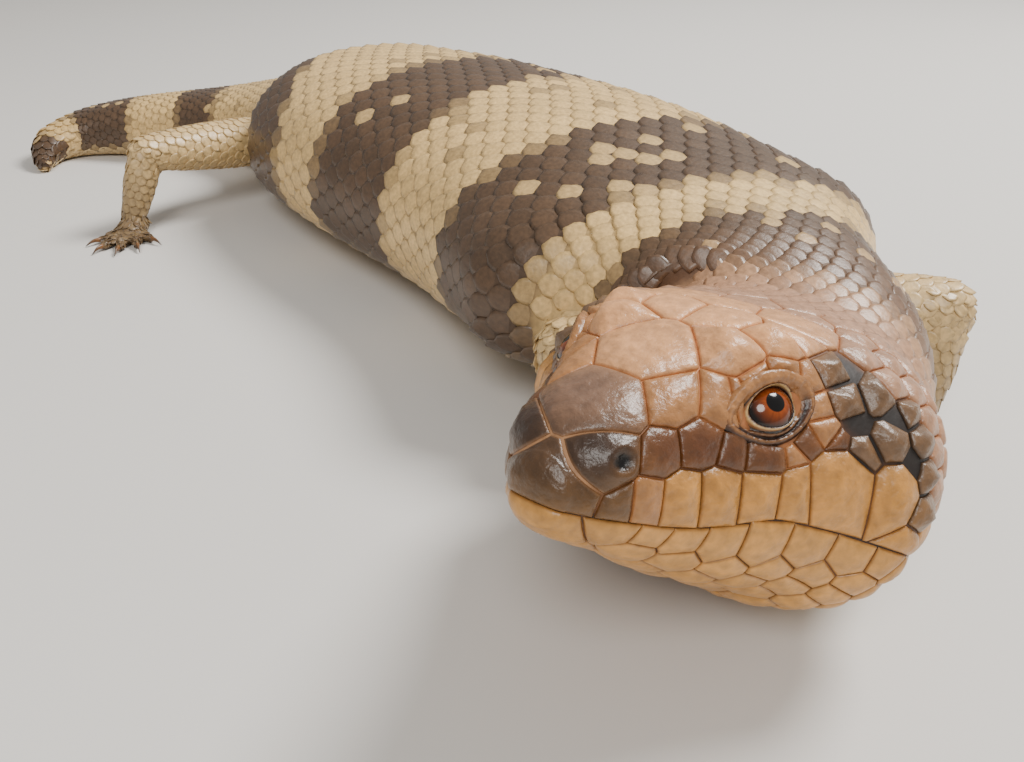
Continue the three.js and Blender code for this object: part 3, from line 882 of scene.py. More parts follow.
# Scales
PLATE_ACROSS = 6
PLATE_ALONG = 6
PLATE_ROOT = -0.42
PLATE_TIP = 0.72
PLATE_DOME = 0.045
PLATE_LIFT = 0.075
PLATE_SINK = -0.085
PLATE_THICKNESS = 0.06
PLATE_HALF_WIDTH = 0.54
PLATE_TIP_HALF_WIDTH = 0.13
PLATE_WIDEST = 0.42
PLATE_ROUNDNESS = 2.6
PLATE_NECK = (0.8, 0.3)
PLATE_EDGE = (0.7, 1.98)
PLATE_BOW = 0.05
PLATE_UNDERSIDE = (0.97, 0.98)
# How dark the rim of a scale is, and the side of its patch on the map
SCALE_SHADES = (1.04, 0.24)
SCALE_PATCH = 0.003
FLOOR_GAP = 0.02


def plate_shape():
    """Scale of unit width with a rounded free edge: vertices, faces and the share of the way to the rim."""
    vertices = []
    rim = []
    for j in range(PLATE_ALONG + 1):
        t = j / PLATE_ALONG
        y = PLATE_ROOT + (PLATE_TIP - PLATE_ROOT) * t
        taper = max(0.0, (t - PLATE_WIDEST) / (1 - PLATE_WIDEST)) ** PLATE_ROUNDNESS
        width = max(PLATE_HALF_WIDTH * max(0.0, 1 - taper) ** 0.5, PLATE_TIP_HALF_WIDTH)
        width *= PLATE_NECK[0] + (1 - PLATE_NECK[0]) * min(1, t / PLATE_NECK[1])
        for i in range(PLATE_ACROSS + 1):
            x = -1 + 2 * i / PLATE_ACROSS
            drop = PLATE_EDGE[1] * max(0.0, max(abs(x), t) - PLATE_EDGE[0]) ** 2
            z = PLATE_SINK + (PLATE_LIFT - PLATE_SINK) * t + PLATE_DOME * (1 - x * x - drop)
            vertices.append((x * width, y + PLATE_BOW * (1 - x * x) * t, z))
            rim.append(max(abs(x) ** 3, t ** 5))
    columns = PLATE_ACROSS + 1
    top = len(vertices)
    border = list(range(columns))
    border += [j * columns + PLATE_ACROSS for j in range(1, PLATE_ALONG + 1)]
    border += [PLATE_ALONG * columns + i for i in range(PLATE_ACROSS - 1, -1, -1)]
    border += [j * columns for j in range(PLATE_ALONG - 1, 0, -1)]
    faces = []
    for j in range(PLATE_ALONG):
        for i in range(PLATE_ACROSS):
            first = j * columns + i
            faces.append((first, first + 1, first + columns + 1, first + columns))
    for k in border:
        x, y, z = vertices[k]
        vertices.append((x * PLATE_UNDERSIDE[0], y * PLATE_UNDERSIDE[1], z - PLATE_THICKNESS))
        rim.append(1.0)
    count = len(border)
    for k in range(count):
        n = (k + 1) % count
        faces.append((border[n], border[k], top + k, top + n))
    faces.append(tuple(top + k for k in reversed(range(count))))
    return np.array(vertices), faces, np.array(rim)


# Inputs of the node tree: name, kind, value
SCALE_INPUTS = (("Roots", "Geometry", None), ("Plate", "Object", None), ("Size", "Float", 1.0),
                ("Variation", "Float", 0.05), ("Seed", "Int", 7), ("Material", "Material", None))


def shown(node):
    """First output of a node that its settings show."""
    return next(socket for socket in node.outputs if socket.enabled)


def scale_nodes():
    """Node tree that sets one plate on each root, turned and sized by the root, and joins them."""
    tree = bpy.data.node_groups.new("Scales on skin", "GeometryNodeTree")
    for name, kind, value in SCALE_INPUTS:
        socket = tree.interface.new_socket(name, in_out="INPUT", socket_type="NodeSocket" + kind)
        if value is not None:
            socket.default_value = value
    tree.interface.new_socket("Scales", in_out="OUTPUT", socket_type="NodeSocketGeometry")
    given = add_node(tree, "NodeGroupInput").outputs
    plate = add_node(tree, "GeometryNodeObjectInfo", {"As Instance": True, "Object": given["Plate"]})
    turn = add_node(tree, "GeometryNodeInputNamedAttribute", {"Name": "turn"}, data_type="QUATERNION")
    spread = add_node(tree, "GeometryNodeInputNamedAttribute", {"Name": "spread"}, data_type="FLOAT_VECTOR")
    low = add_node(tree, "ShaderNodeMath", {0: 1.0, 1: given["Variation"]}, operation="SUBTRACT")
    high = add_node(tree, "ShaderNodeMath", {0: 1.0, 1: given["Variation"]}, operation="ADD")
    luck = add_node(tree, "FunctionNodeRandomValue", {"Seed": given["Seed"]}, data_type="FLOAT")
    least, most = [socket for socket in luck.inputs if socket.type == "VALUE"][:2]
    tree.links.new(low.outputs[0], least)
    tree.links.new(high.outputs[0], most)
    chance = next(socket for socket in luck.outputs if socket.type == "VALUE")
    factor = add_node(tree, "ShaderNodeMath", {0: given["Size"], 1: chance}, operation="MULTIPLY")
    sized = add_node(tree, "ShaderNodeVectorMath",
                     {0: shown(spread), "Scale": factor.outputs[0]}, operation="SCALE")
    instance = add_node(tree, "GeometryNodeInstanceOnPoints",
                        {"Points": given["Roots"], "Instance": plate.outputs["Geometry"],
                         "Rotation": shown(turn), "Scale": sized.outputs["Vector"]})
    real = add_node(tree, "GeometryNodeRealizeInstances", {"Geometry": instance.outputs["Instances"]})
    paint = add_node(tree, "GeometryNodeSetMaterial",
                     {"Geometry": real.outputs["Geometry"], "Material": given["Material"]})
    add_node(tree, "NodeGroupOutput", {"Scales": paint.outputs["Geometry"]})
    return tree


class ScaleMaker:
    """Turns lists of roots into joined pieces of scales."""

    def __init__(self, tree, material, settings):
        self.tree = tree
        self.shape, faces, self.rim = plate_shape()
        self.plate = new_object("scale_plate", self.shape / MM, faces)
        self.values = {"Plate": self.plate, "Size": 1.0, "Variation": settings.scale_variation,
                       "Seed": settings.seed, "Material": material}

    def holder(self, name, roots):
        """Points at the roots with the turn and size of each scale, under the node tree."""
        turns = []
        spreads = []
        for _, normal, way, width, length, *_ in roots:
            basis = Matrix(np.stack([np.cross(way, normal), way, normal], axis=1).tolist())
            turns.append(tuple(basis.to_quaternion()))
            spreads.append((width, length, width))
        mesh = bpy.data.meshes.new(name + "_roots")
        mesh.from_pydata([tuple(root[0] * MM) for root in roots], [], [])
        turn = mesh.attributes.new("turn", "QUATERNION", "POINT")
        turn.data.foreach_set("value", np.array(turns).ravel())
        spread = mesh.attributes.new("spread", "FLOAT_VECTOR", "POINT")
        spread.data.foreach_set("vector", (np.array(spreads) * MM).ravel())
        thing = link_object(name + "_roots", mesh)
        modifier = thing.modifiers.new("Scales", "NODES")
        modifier.node_group = self.tree
        for item in self.tree.interface.items_tree:
            if item.in_out == "INPUT" and item.name in self.values:
                modifier[item.identifier] = self.values[item.name]
        return thing

    def piece(self, name, roots):
        """One joined mesh. Each root has place, normal, way, width, length, tone, map place and part."""
        holder = self.holder(name, roots)
        made = evaluated_mesh(holder)
        drop_object(holder)
        made.name = name
        points = mesh_points(made)
        points[:, 2] = np.maximum(points[:, 2], FLOOR_GAP)
        made.vertices.foreach_set("co", (points * MM).ravel())
        owner, within = np.divmod(np.arange(len(points)), len(self.shape))
        shade = SCALE_SHADES[0] - SCALE_SHADES[1] * self.rim[within]
        set_tone(made, np.array([root[5] for root in roots])[owner] * shade[:, None])
        patch = self.shape[:, :2] - self.shape[:, :2].min(axis=0)
        patch = patch / patch.max() * SCALE_PATCH
        corners = corner_vertices(made)
        for layer in list(made.uv_layers):
            made.uv_layers.remove(layer)
        set_map(made, np.array([root[6] for root in roots])[owner[corners]] + patch[within[corners]])
        smooth_faces(made)
        return link_object(name, made)


# Seats of the scales: how far the skin may be, how squarely it faces outwards, how level the row is
BODY_REACH = 1.05
LIMB_REACH = 0.85
LEAST_FACING = 0.45
LEAST_LEVEL = 0.2
# Rows round the body: points of a ring, step ahead, fewest scales, and bare end of the tail
RING_STEPS = 240
ROW_AHEAD = 0.5
FEWEST_BODY = 8
FEWEST_LIMB = 4
TAIL_BARE = 0.5
LIMB_ENDS = (0.3, 0.05)
LIMB_SCALES = {"upper": 2.7, "lower": 2.4, "palm": 1.8, "toe": 1.3}


def seat(tree, point, way, outward, reach):
    """Nearest place on the skin, its normal and the way along it, or nothing where no skin is near."""
    place, normal, _, gap = tree.find_nearest(Vector(point))
    if place is None or gap > reach:
        return None
    normal = np.array(normal)
    if normal @ unit(outward) < LEAST_FACING:
        return None
    along = way - normal * (way @ normal)
    length = np.linalg.norm(along)
    if length < LEAST_LEVEL:
        return None
    return np.array(place), normal, along / length


def body_roots(tree, settings):
    """Roots of the scales of neck, trunk and tail in rows that are offset by half a scale."""
    random = np.random.default_rng(settings.seed)
    roots = []
    angles = np.arange(RING_STEPS + 1) / RING_STEPS * TAU
    smallest = settings.smallest_scale / MM
    s = settings.scale_start / MM
    row = 0
    while s < TAIL_END - TAIL_BARE:
        ring = body_surface(np.full(len(angles), s), angles)
        ahead = body_surface(np.full(len(angles), s + ROW_AHEAD), angles)
        run = run_along(ring)
        total = run[-1]
        middle = ring[:-1].mean(axis=0)
        count = settings.scale_rows
        if total / count < smallest:
            count = max(FEWEST_BODY, 2 * int(round(total / smallest / 2)))
        width = total / count
        size = width * settings.scale_spread
        for k in range(count):
            along = ((k + 0.5 * (row % 2)) / count * total) % total
            point = walk(along, run, ring)
            found = seat(tree, point, unit(walk(along, run, ahead) - point), point - middle, BODY_REACH)
            if found is None:
                continue
            half = along if along <= total / 2 else along - total
            tone = body_tone(np.array([s]), np.array([half / (total / 2)]), random.random(1))[0]
            roots.append((*found, size, size * settings.scale_stretch, tone, body_map(s, half), s))
        s += width * settings.scale_pitch
        row += 1
    return roots


def limb_roots(tree, settings):
    """Roots of the scales of the legs and feet."""
    random = np.random.default_rng(settings.seed + 1)
    roots = []
    for tube in tubes(0.0, 0.0, TUBE_STEP / 2):
        kind = tube["kind"]
        run = tube["run"]
        points = tube["points"]
        size = LIMB_SCALES[kind]
        girths = around(points)[:, -1]
        stations = np.arange(run[0] + LIMB_ENDS[0], run[-1] - LIMB_ENDS[1], size * settings.scale_pitch)
        for row, station in enumerate(stations):
            ring = np.array([walk(station, run, points[:, c]) for c in range(points.shape[1])])
            centre = ring[:-1].mean(axis=0)
            total = np.interp(station, run, girths)
            count = max(FEWEST_LIMB, int(round(total / size)))
            width = total / count * settings.scale_spread
            steps = run_along(ring)
            for k in range(count):
                along = (k + 0.5 * (row % 2)) / count * steps[-1]
                point = walk(along, steps, ring)
                found = seat(tree, point, tube["axis"], point - centre, LIMB_REACH)
                if found is None:
                    continue
                share = np.clip(np.array([station / run[-1]]), 0, 1)
                tone = limb_tone(kind, share, random.random(1))[0]
                roots.append((*found, width, width * settings.scale_stretch, tone,
                              limb_map(tube, station, along), kind))
    return roots


# Head shields
# Each shield is the part of the head's surface nearest to its centre, in the sense of weighted distance:
# name, behind the snout, to the left, over the lip line, weight, tone, height of its dome
SHIELDS = [
    ("rostral", 3.1, 0.0, 1.9, 4.8, "snout", 0.3),
    ("nasal", 2.1, 4.4, 7.0, 3.6, "snout", 0.3),
    ("frontonasal", 6.2, 0.0, 10.6, 5.8, "bridge", 0.25),
    ("prefrontal", 11.1, 5.8, 12.5, 3.8, "tan", 0.4),
    ("frontal", 14.2, 0.0, 14.5, 5.8, "crown", 0.2),
    ("frontoparietal", 25.0, 3.2, 18.6, 3.6, "crown", 0.2),
    ("interparietal", 31.0, 0.0, 19.0, 4.2, "crown", 0.2),
    ("parietal", 33.5, 7.6, 18.2, 4.6, "crown", 0.2),
    ("supraocular_1", 15.7, 8.6, 11.5, 2.8, "tan", 0.6),
    ("supraocular_2", 19.8, 6.6, 15.2, 3.8, "crown", 1.2),
    ("supraocular_3", 24.6, 8.6, 16.4, 3.4, "crown", 1.1),
    ("supraocular_4", 28.4, 9.4, 17.0, 3.0, "crown", 0.6),
    ("loreal_1", 8.3, 9.8, 7.4, 2.4, "loreal", 0.25),
    ("loreal_2", 12.4, 10.1, 7.3, 2.7, "loreal", 0.25),
    ("preocular", 14.9, 11.6, 6.6, 2.0, "loreal", 0.3),
    ("upper_labial_1", 4.3, 8.2, 0.4, 1.7, "lip_front", 0.3),
    ("upper_labial_2", 7.9, 8.8, 0.8, 2.7, "tan", 0.3),
    ("upper_labial_3", 11.6, 10.4, 1.2, 4.2, "lip", 0.7),
    ("upper_labial_4", 13.8, 11.7, 1.6, 4.2, "lip", 0.7),
    ("upper_labial_5", 18.6, 14.4, 2.3, 3.4, "lip", 0.7),
    ("upper_labial_6", 22.8, 16.8, 2.7, 3.7, "lip", 0.7),
    ("upper_labial_7", 26.2, 19.1, 3.7, 4.7, "lip", 0.7),
    ("upper_labial_8", 31.4, 23.0, 4.0, 3.0, "lip", 0.7),
    ("subocular_1", 18.9, 13.9, 6.3, 2.1, "loreal", 0.35),
    ("subocular_2", 22.7, 14.9, 6.6, 1.6, "tan", 0.35),
]

# Smaller scales in rows over the head's surface:
# behind the snout, degrees from the crown, weight, tone, height of the dome
HEAD_ROWS = [
    (20.5, (54.5,), 3.9, "eye", 0.0),
    (16.6, (45.5,), 2.3, "tan", 1.5),
    (19.4, (42.5,), 2.4, "tan", 1.8),
    (22.4, (42.5,), 2.4, "tan", 1.8),
    (24.8, (46.5, 57, 67), 1.7, "tan", 0.7),
    (23.2, (71,), 1.7, "loreal", 0.5),
    (26.3, (74,), 1.8, "loreal", 0.5),
    (28.6, (43, 53, 76), 2.3, "temple", 1.3),
    # Pits have no plate: the skin shows there in the near-black painted shade of the temple gaps
    (28.7, (63,), 0.4, "recess_shade", 0.0),
    (31.2, (41,), 0.3, "recess_shade", 0.0),
    (32.4, (49,), 2.2, "temple", 1.3),
    (33.2, (58,), 0.3, "recess_shade", 0.0),
    (31.6, (68,), 2.0, "temple", 1.3),
    (34.2, (74,), 0.9, "recess_shade", 0.0),
    (36.6, (33, 44), 2.6, "nape", 0.6),
    (36.4, (56,), 2.2, "temple", 1.1),
    (36.8, (67, 78, 88), 2.6, "temple", 1.1),
    (38.5, (0, 13), 2.8, "nape", 0.3),
    (40.6, (26, 38, 50, 62, 73, 84), 2.6, "nape", 0.6),
    (42.9, (7, 19), 2.7, "nape", 0.4),
    (44.6, (32, 44, 56, 68, 79, 90), 2.6, "nape", 0.5),
    (35.0, (98,), 2.2, "lip", 0.4),
    (39.4, (95,), 2.5, "lip", 0.4),
    (43.2, (101,), 2.6, "lip", 0.4),
    (1.8, (180,), 3.6, "chin", 0.3),
    (5.6, (112,), 2.4, "chin", 0.35),
    (9.0, (114,), 2.5, "chin", 0.35),
    (12.8, (116,), 2.7, "chin", 0.35),
    (16.8, (114,), 2.8, "chin", 0.35),
    (21.0, (110,), 2.9, "chin", 0.35),
    (25.6, (108,), 3.0, "chin", 0.35),
    (30.2, (106,), 2.8, "chin", 0.35),
    (33.2, (104,), 2.4, "chin", 0.35),
    (7.0, (180,), 3.0, "chin", 0.3),
    (9.6, (148,), 2.9, "chin", 0.3),
    (14.6, (138, 165), 2.9, "chin", 0.3),
    (19.6, (131, 150, 172), 2.6, "chin", 0.3),
    (24.2, (123, 140, 158, 180), 2.6, "chin", 0.3),
    (28.6, (121, 133, 149, 167), 2.5, "chin", 0.3),
    (32.6, (118, 128, 141, 157, 180), 2.4, "chin", 0.3),
    (36.6, (108, 121, 134, 150, 167), 2.4, "chin", 0.3),
    (40.4, (106, 115, 127, 142, 158, 180), 2.3, "chin", 0.3),
    (44.2, (112, 122, 134, 150, 167), 2.3, "chin", 0.3),
]
HEAD_END = 44.4
MOUTH_CORNER = 34.5
# Line of the mouth: behind the snout, height in head coordinates
LIP_LINE = [
    (0, 0.3),
    (6, -0.3),
    (13, -0.95),
    (17, -0.5),
    (21, 0.15),
    (26, -0.6),
    (33.6, -2.5),
    (38.5, -3.8),
    (47, -5.2),
]
LIP_HEIGHT = smooth_table(LIP_LINE, 1)

# Cells: where the search for neighbours starts and ends, margin of the patch, gap at which a neighbour cuts
SAME_PLACE = 0.01
NEIGHBOUR_REACH = 16
PATCH_MARGIN = 1.2
TOUCH_MARGIN = 1.6
TEMPLE_GAP = 2.6
CUT_BLUR = 1e-5
# Rims: distances of the cuts from the rim, and how wide the rim is rounded and the dome rises
RIM_CUTS = (0.1, 0.26, 0.6)
RIM_REACH = 0.7
SOFT_RIM_REACH = 1.2
SOFT_RIMS = ("lip", "chin", "temple")
DOME_REACH = 2.6
UNDERSIDE = 0.4
# Colours: how much a shield takes of its neighbours' colour and of the gap's, and how much shields differ
TONE_BLEND = 0.45
TONE_BLUR = 4.0
RIM_TONE_REACH = 0.26
RIM_TONE = 0.5
SHIELD_SHADES = (0.86, 0.26)
# Nostril: behind the snout, degrees from the crown and radius, then its depth, and the start and width of its
# wall and of the painted shade inside it and the height, place and width of its rim, as shares of the radius
NOSTRIL = (4.3, 62.0, 0.95)
NOSTRIL_DEPTH = 0.55
NOSTRIL_WALL = (0.5, 0.7)
NOSTRIL_PAINTED_SHADE = (0.72, 0.316)
NOSTRIL_RIM = (0.18, 1.5, 0.421)
NOSTRIL_SHADE = 0.4
# Grid of the head's surface: steps along the snout and behind it, and points round it
SURFACE_STEPS = (0.35, 0.62)
SURFACE_SNOUT = 8
SURFACE_SIDES = 170
SURFACE_MARGIN = 1.6
SEAM = 0.08
# Searches of the grid: how many points and how soft the weights are
SETTLE_NEAR = (6, 0.2)
LOOK_UP_NEAR = (4, 0.03)


def shield_seeds(random):
    """All centres in head coordinates with their weights, tones and domes, on both sides."""
    seeds = []
    for _, behind, side, above, weight, tone, dome in SHIELDS:
        for mirror in ((1, -1) if side else (1,)):
            seeds.append((np.array([behind, side * mirror, above]), weight, tone, dome, random.random()))
    for behind, angles, weight, tone, dome in HEAD_ROWS:
        for degrees in angles:
            spot = head_spot(behind, degrees)
            on_middle = degrees in (0, 180)
            for mirror in ((1,) if on_middle else (1, -1)):
                place = spot * [1, 0 if on_middle else mirror, 1]
                seeds.append((place, weight, tone, dome, random.random()))
    return seeds


def over_lip(local):
    """Height over the mouth's line in head coordinates."""
    return local[..., 2] - LIP_HEIGHT(local[..., 0])


def cut_shield(points, faces, planes, inset):
    """Part of a patch of surface inside all planes, with cuts that run along its rim."""
    work = bmesh.new()
    used = sorted({v for face in faces for v in face})
    index = {v: work.verts.new(points[v]) for v in used}
    for face in faces:
        work.faces.new([index[v] for v in face])
    for cut in (0, *RIM_CUTS):
        for start, normal in planes:
            everything = work.verts[:] + work.edges[:] + work.faces[:]
            bmesh.ops.bisect_plane(work, geom=everything, dist=CUT_BLUR, plane_no=normal,
                                   plane_co=start - normal * (inset + cut), clear_outer=cut == 0)
            if not work.faces:
                work.free()
                return None
    work.verts.index_update()
    places = np.array([v.co[:] for v in work.verts])
    shapes = [tuple(v.index for v in face.verts) for face in work.faces]
    rims = [(edge.verts[0].index, edge.verts[1].index) for edge in work.edges if len(edge.link_faces) == 1]
    work.free()
    return places, shapes, rims


class HeadSurface:
    """Fine grid of the head's surface in head coordinates, with normals and map places."""

    def __init__(self):
        stations = np.r_[np.arange(SNOUT_FRONT, SURFACE_SNOUT, SURFACE_STEPS[0]),
                         np.arange(SURFACE_SNOUT, HEAD_END + SURFACE_MARGIN, SURFACE_STEPS[1])] - HEAD_LENGTH
        points, s = body_grid(stations, SURFACE_SIDES)
        normals = (grid_normals(points) @ HEAD_AXES.T) * [-1, 1, 1]
        local = row_to_head(points)[:, :-1]
        rows, columns = local.shape[:2]
        middle = rows * columns
        points_here = local.reshape(-1, 3)
        places = body_map(s, half_around(points)[0])[:, :-1].reshape(-1, 2)
        self.points = np.vstack([points_here, points_here[:columns].mean(axis=0)])
        self.normals = np.vstack([normals[:, :-1].reshape(-1, 3), [-1, 0, 0]])
        self.map = np.vstack([places, places[0]])
        self.faces = grid_faces(rows, columns)
        self.faces += [(middle, c, (c + 1) % columns) for c in range(columns)]
        self.tree = KDTree(len(self.points))
        for i, point in enumerate(self.points):
            self.tree.insert(point, i)
        self.tree.balance()

    def near(self, place, count, blur):
        """Weights and numbers of the points of the grid that are nearest to a place."""
        found = self.tree.find_n(place, count)
        weights = np.array([1 / (item[2] + blur) ** 2 for item in found])
        return weights / weights.sum(), [item[1] for item in found]

    def settle(self, places):
        """Normals and smooth places on the surface near points."""
        normals = np.empty((len(places), 3))
        spots = np.empty((len(places), 3))
        for k, place in enumerate(places):
            weights, chosen = self.near(place, *SETTLE_NEAR)
            normals[k] = unit(weights @ self.normals[chosen])
            spots[k] = place - normals[k] * ((place - weights @ self.points[chosen]) @ normals[k])
        return normals, spots

    def look_up(self, places):
        """Smooth normals and map places near points of the surface."""
        normals = np.empty((len(places), 3))
        maps = np.empty((len(places), 2))
        for k, place in enumerate(places):
            weights, chosen = self.near(place, *LOOK_UP_NEAR)
            normals[k] = unit(weights @ self.normals[chosen])
            spots = self.map[chosen]
            maps[k] = weights @ np.where(np.abs(spots - spots[:1]) > SEAM, spots[:1], spots)
        return normals, maps


def blended_tone(places, centres, table):
    """Colour that fades from shield to shield."""
    gaps = ((places[:, None] - centres[None]) ** 2).sum(-1)
    weights = 1 / (gaps + TONE_BLUR) ** 2
    return (weights @ table) / weights.sum(axis=1, keepdims=True)


def nostril_form(places):
    """Height of the nostrils and strength of the painted shade inside them at points of the head."""
    height = np.zeros(len(places))
    dark = np.zeros(len(places))
    for side in (1, -1):
        gap = np.linalg.norm(places - head_spot(*NOSTRIL[:2]) * [1, side, 1], axis=1)
        share = gap / NOSTRIL[2]
        height -= NOSTRIL_DEPTH * (1 - smoothstep((share - NOSTRIL_WALL[0]) / NOSTRIL_WALL[1]))
        height += NOSTRIL_RIM[0] * np.exp(-((share - NOSTRIL_RIM[1]) / NOSTRIL_RIM[2]) ** 2)
        dark = np.maximum(dark, 1 - smoothstep((share - NOSTRIL_PAINTED_SHADE[0]) / NOSTRIL_PAINTED_SHADE[1]))
    return height, dark


def cell_planes(i, seeds, centres, powers, faces):
    """Planes that bound the cell of a shield, and the faces of the surface near it."""
    _, weight, tone, _, _ = seeds[i]
    apart = np.linalg.norm(centres - centres[i], axis=1)
    close = [j for j in np.argsort(apart)[1:]
             if SAME_PLACE < apart[j] < NEIGHBOUR_REACH and (seeds[j][2] == "chin") == (tone == "chin")]
    shares = (powers[:, close] - powers[:, i:i + 1]) / (2 * apart[close])
    near = shares.min(axis=1) > -PATCH_MARGIN
    planes = []
    for j, touches in zip(close, (shares[near] < TOUCH_MARGIN).any(axis=0)):
        if touches:
            normal = (centres[j] - centres[i]) / apart[j]
            reach = (apart[j] ** 2 - seeds[j][1] ** 2 + weight ** 2) / (2 * apart[j])
            planes.append((centres[i] + normal * reach, normal))
    planes.append((np.array([HEAD_END, 0, 0]), np.array([1.0, 0, 0])))
    behind = centres[i, 0]
    slope = LIP_HEIGHT(behind + 1) - LIP_HEIGHT(behind - 1)
    upward = unit(np.array([-slope / 2, 0, 1.0]))
    planes.append((np.array([behind, 0, float(LIP_HEIGHT(behind))]), upward if tone == "chin" else -upward))
    return planes, faces[near[faces].any(axis=1)]


def build_shields(settings, upper):
    """Shields above or below the line of the mouth as one mesh of closed plates."""
    seeds = shield_seeds(np.random.default_rng(settings.seed))
    surface = HeadSurface()
    centres = np.array([seed[0] for seed in seeds])
    weights = np.array([seed[1] for seed in seeds])
    powers = ((surface.points[:, None] - centres[None]) ** 2).sum(-1) - weights ** 2
    faces = np.array([face if len(face) == 4 else (*face, face[0]) for face in surface.faces])
    tone_table = np.array([TONES["temple" if seed[2] in ("eye", "recess_shade") else seed[2]] for seed in seeds])
    sink = settings.shield_sink / MM
    vertices = []
    shapes = []
    tones = []
    maps = []
    for i, (_, _, tone, dome, luck) in enumerate(seeds):
        if tone in ("eye", "recess_shade") or (tone != "chin") != upper:
            continue
        planes, picked = cell_planes(i, seeds, centres, powers, faces)
        inset = settings.suture / MM / 2 * (TEMPLE_GAP if tone == "temple" else 1)
        patch = [tuple(dict.fromkeys(face)) for face in picked.tolist()]
        result = cut_shield(surface.points, patch, planes, inset) if patch else None
        if result is None:
            continue
        places, cut_faces, rims = result
        rim_gap = np.min([(start - places) @ normal for start, normal in planes], axis=0) - inset
        rim_share = 1 - np.clip(rim_gap / (SOFT_RIM_REACH if tone in SOFT_RIMS else RIM_REACH), 0, 1)
        round_rim = np.sqrt(np.clip(1 - rim_share ** 2, 0, 1))
        form, dark = nostril_form(places)
        height = dome * smoothstep(rim_gap / DOME_REACH) - sink * (1 - round_rim) + form
        normals, spots = surface.look_up(places)
        colour = TONES[tone] * (SHIELD_SHADES[0] + SHIELD_SHADES[1] * luck)
        paint = mixed_tone(colour, blended_tone(places, centres, tone_table), TONE_BLEND)
        # Rims take the colour of the skin between the shields; on the temple scales this is partly painted
        # shade
        edge = RIM_TONE * (1 - smoothstep(rim_gap / RIM_TONE_REACH))[:, None]
        paint = mixed_tone(paint, TONES[GAP_TONES[tone]], edge)
        # Painted shade inside the nostrils
        paint = paint * (1 - dark[:, None]) + TONES["recess_shade"] * NOSTRIL_SHADE * dark[:, None]
        first = len(vertices)
        under = first + len(places)
        vertices.extend(head_to_row(places + normals * height[:, None]))
        vertices.extend(head_to_row(places - normals * (sink + UNDERSIDE)))
        tones.extend([*paint, *paint])
        maps.extend([*spots, *spots])
        for face in cut_faces:
            shapes.append(tuple(first + v for v in face))
            shapes.append(tuple(under + v for v in reversed(face)))
        shapes.extend((first + a, first + b, under + b, under + a) for a, b in rims)
    return vertices, shapes, tones, maps


def plates_object(name, parts):
    """Object from closed plates, with outward faces, tone and map."""
    vertices, shapes, tones, maps = parts
    thing = new_object(name, vertices, shapes)
    work = bmesh.new()
    work.from_mesh(thing.data)
    bmesh.ops.recalc_face_normals(work, faces=work.faces)
    work.to_mesh(thing.data)
    work.free()
    smooth_faces(thing.data)
    set_tone(thing.data, np.array(tones))
    set_map(thing.data, np.array(maps)[corner_vertices(thing.data)])
    return thing


# Eyes
EYE_SPOT = (20.5, 54.5)
EYE_BALL_RADIUS = 3.3
EYE_BALL_DEPTH = 1.95
EYE_OPENING = (2.65, 2.0)
PUPIL_ANGLE = math.radians(17)
IRIS_ANGLE = math.radians(44)
EYE_GAZE = (0.50, 0.62, 0.60)
EYE_STEP = (2.5, 12)
EYE_SIDES = 48
# Rings of the ball: counts on pupil, iris and white, gaps at the edges of pupil and iris, and the two poles
EYE_RINGS = (7, 9, 18)
EYE_EDGES = (0.03, 0.10, 0.04, 0.15)
EYE_POLES = (0.02, 0.05)
# Rays of the iris: two counts round it, and how strong they are
IRIS_RAYS = (17, 5, 0.15)
EYE_MAP_RADIUS = 0.48
LID_STEPS = 144
LID_WRINKLES = ((23, 0.0), (37, 1.3))
LID_CORNERS = (0.26, 0.12)
LID_RELIEF = 0.16
BROW_FROM = 1.18
BROW_BLEND = 0.85
UNDER_SHADE = 0.35
# Painted shade in the creases between the beads of the lid folds
BEAD_SHADE = 0.35
HOOD = 1.0
LID_MAP_HEIGHT = 17
# Fades of the brow and of the shade below, and how far out the lids settle on the face and the folds start
BROW_FADE = (0.3, 0.8)
UNDER_FADE = 0.7
SETTLE_REACH = 0.5
HOOD_REACH = 0.12
BROW_REACH = 0.15
SHADE_START = (1.08, 0.1)
DEEPEST_FLAT = -1
LEAST_BALL = 0.04
# Lid from the ball outwards: share of the opening, height over the ball or the face, colour, beads; the
# near-black rows are painted shade at the socket's edge and in the grooves
LID_PROFILE = [
    (1.02, -1.3, "recess_shade", 0.0),
    (1.00, -0.08, "recess_shade", 0.0),
    (0.985, 0.05, "recess_shade", 0.0),
    (1.03, 0.16, "loreal", 0.0),
    (1.07, 0.27, "cream", 0.6),
    (1.12, 0.22, "tan", 0.5),
    (1.17, -0.02, "recess_shade", 0.0),
    (1.24, 0.16, "loreal", 0.3),
    (1.31, 0.30, "tan", 1.0),
    (1.38, 0.14, "loreal", 0.5),
    (1.44, -0.14, "recess_shade", 0.0),
    (1.52, 0.14, "loreal", 0.5),
    (1.62, 0.28, "tan", 1.0),
    (1.72, 0.10, "loreal", 0.6),
    (1.82, -0.22, "recess_shade", 0.0),
    (1.92, -1.4, "recess_shade", 0.0),
]


def eye_frame(side):
    """Place of the eye on the head's surface with its outward, forward and upward directions."""
    behind, degrees = EYE_SPOT
    spot = head_spot(behind, degrees, plain=False) * [1, side, 1]
    along = head_spot(behind + EYE_STEP[0], degrees) - head_spot(behind - EYE_STEP[0], degrees)
    across = head_spot(behind, degrees - EYE_STEP[1]) - head_spot(behind, degrees + EYE_STEP[1])
    outward = unit(np.cross(along, across))
    outward = outward * math.copysign(1, outward[1]) * [1, side, 1]
    forward = np.array([-1.0, 0, 0])
    forward = unit(forward - outward * (forward @ outward))
    upward = unit(np.cross(outward, forward))
    return spot, outward, forward, upward * math.copysign(1, upward[2])


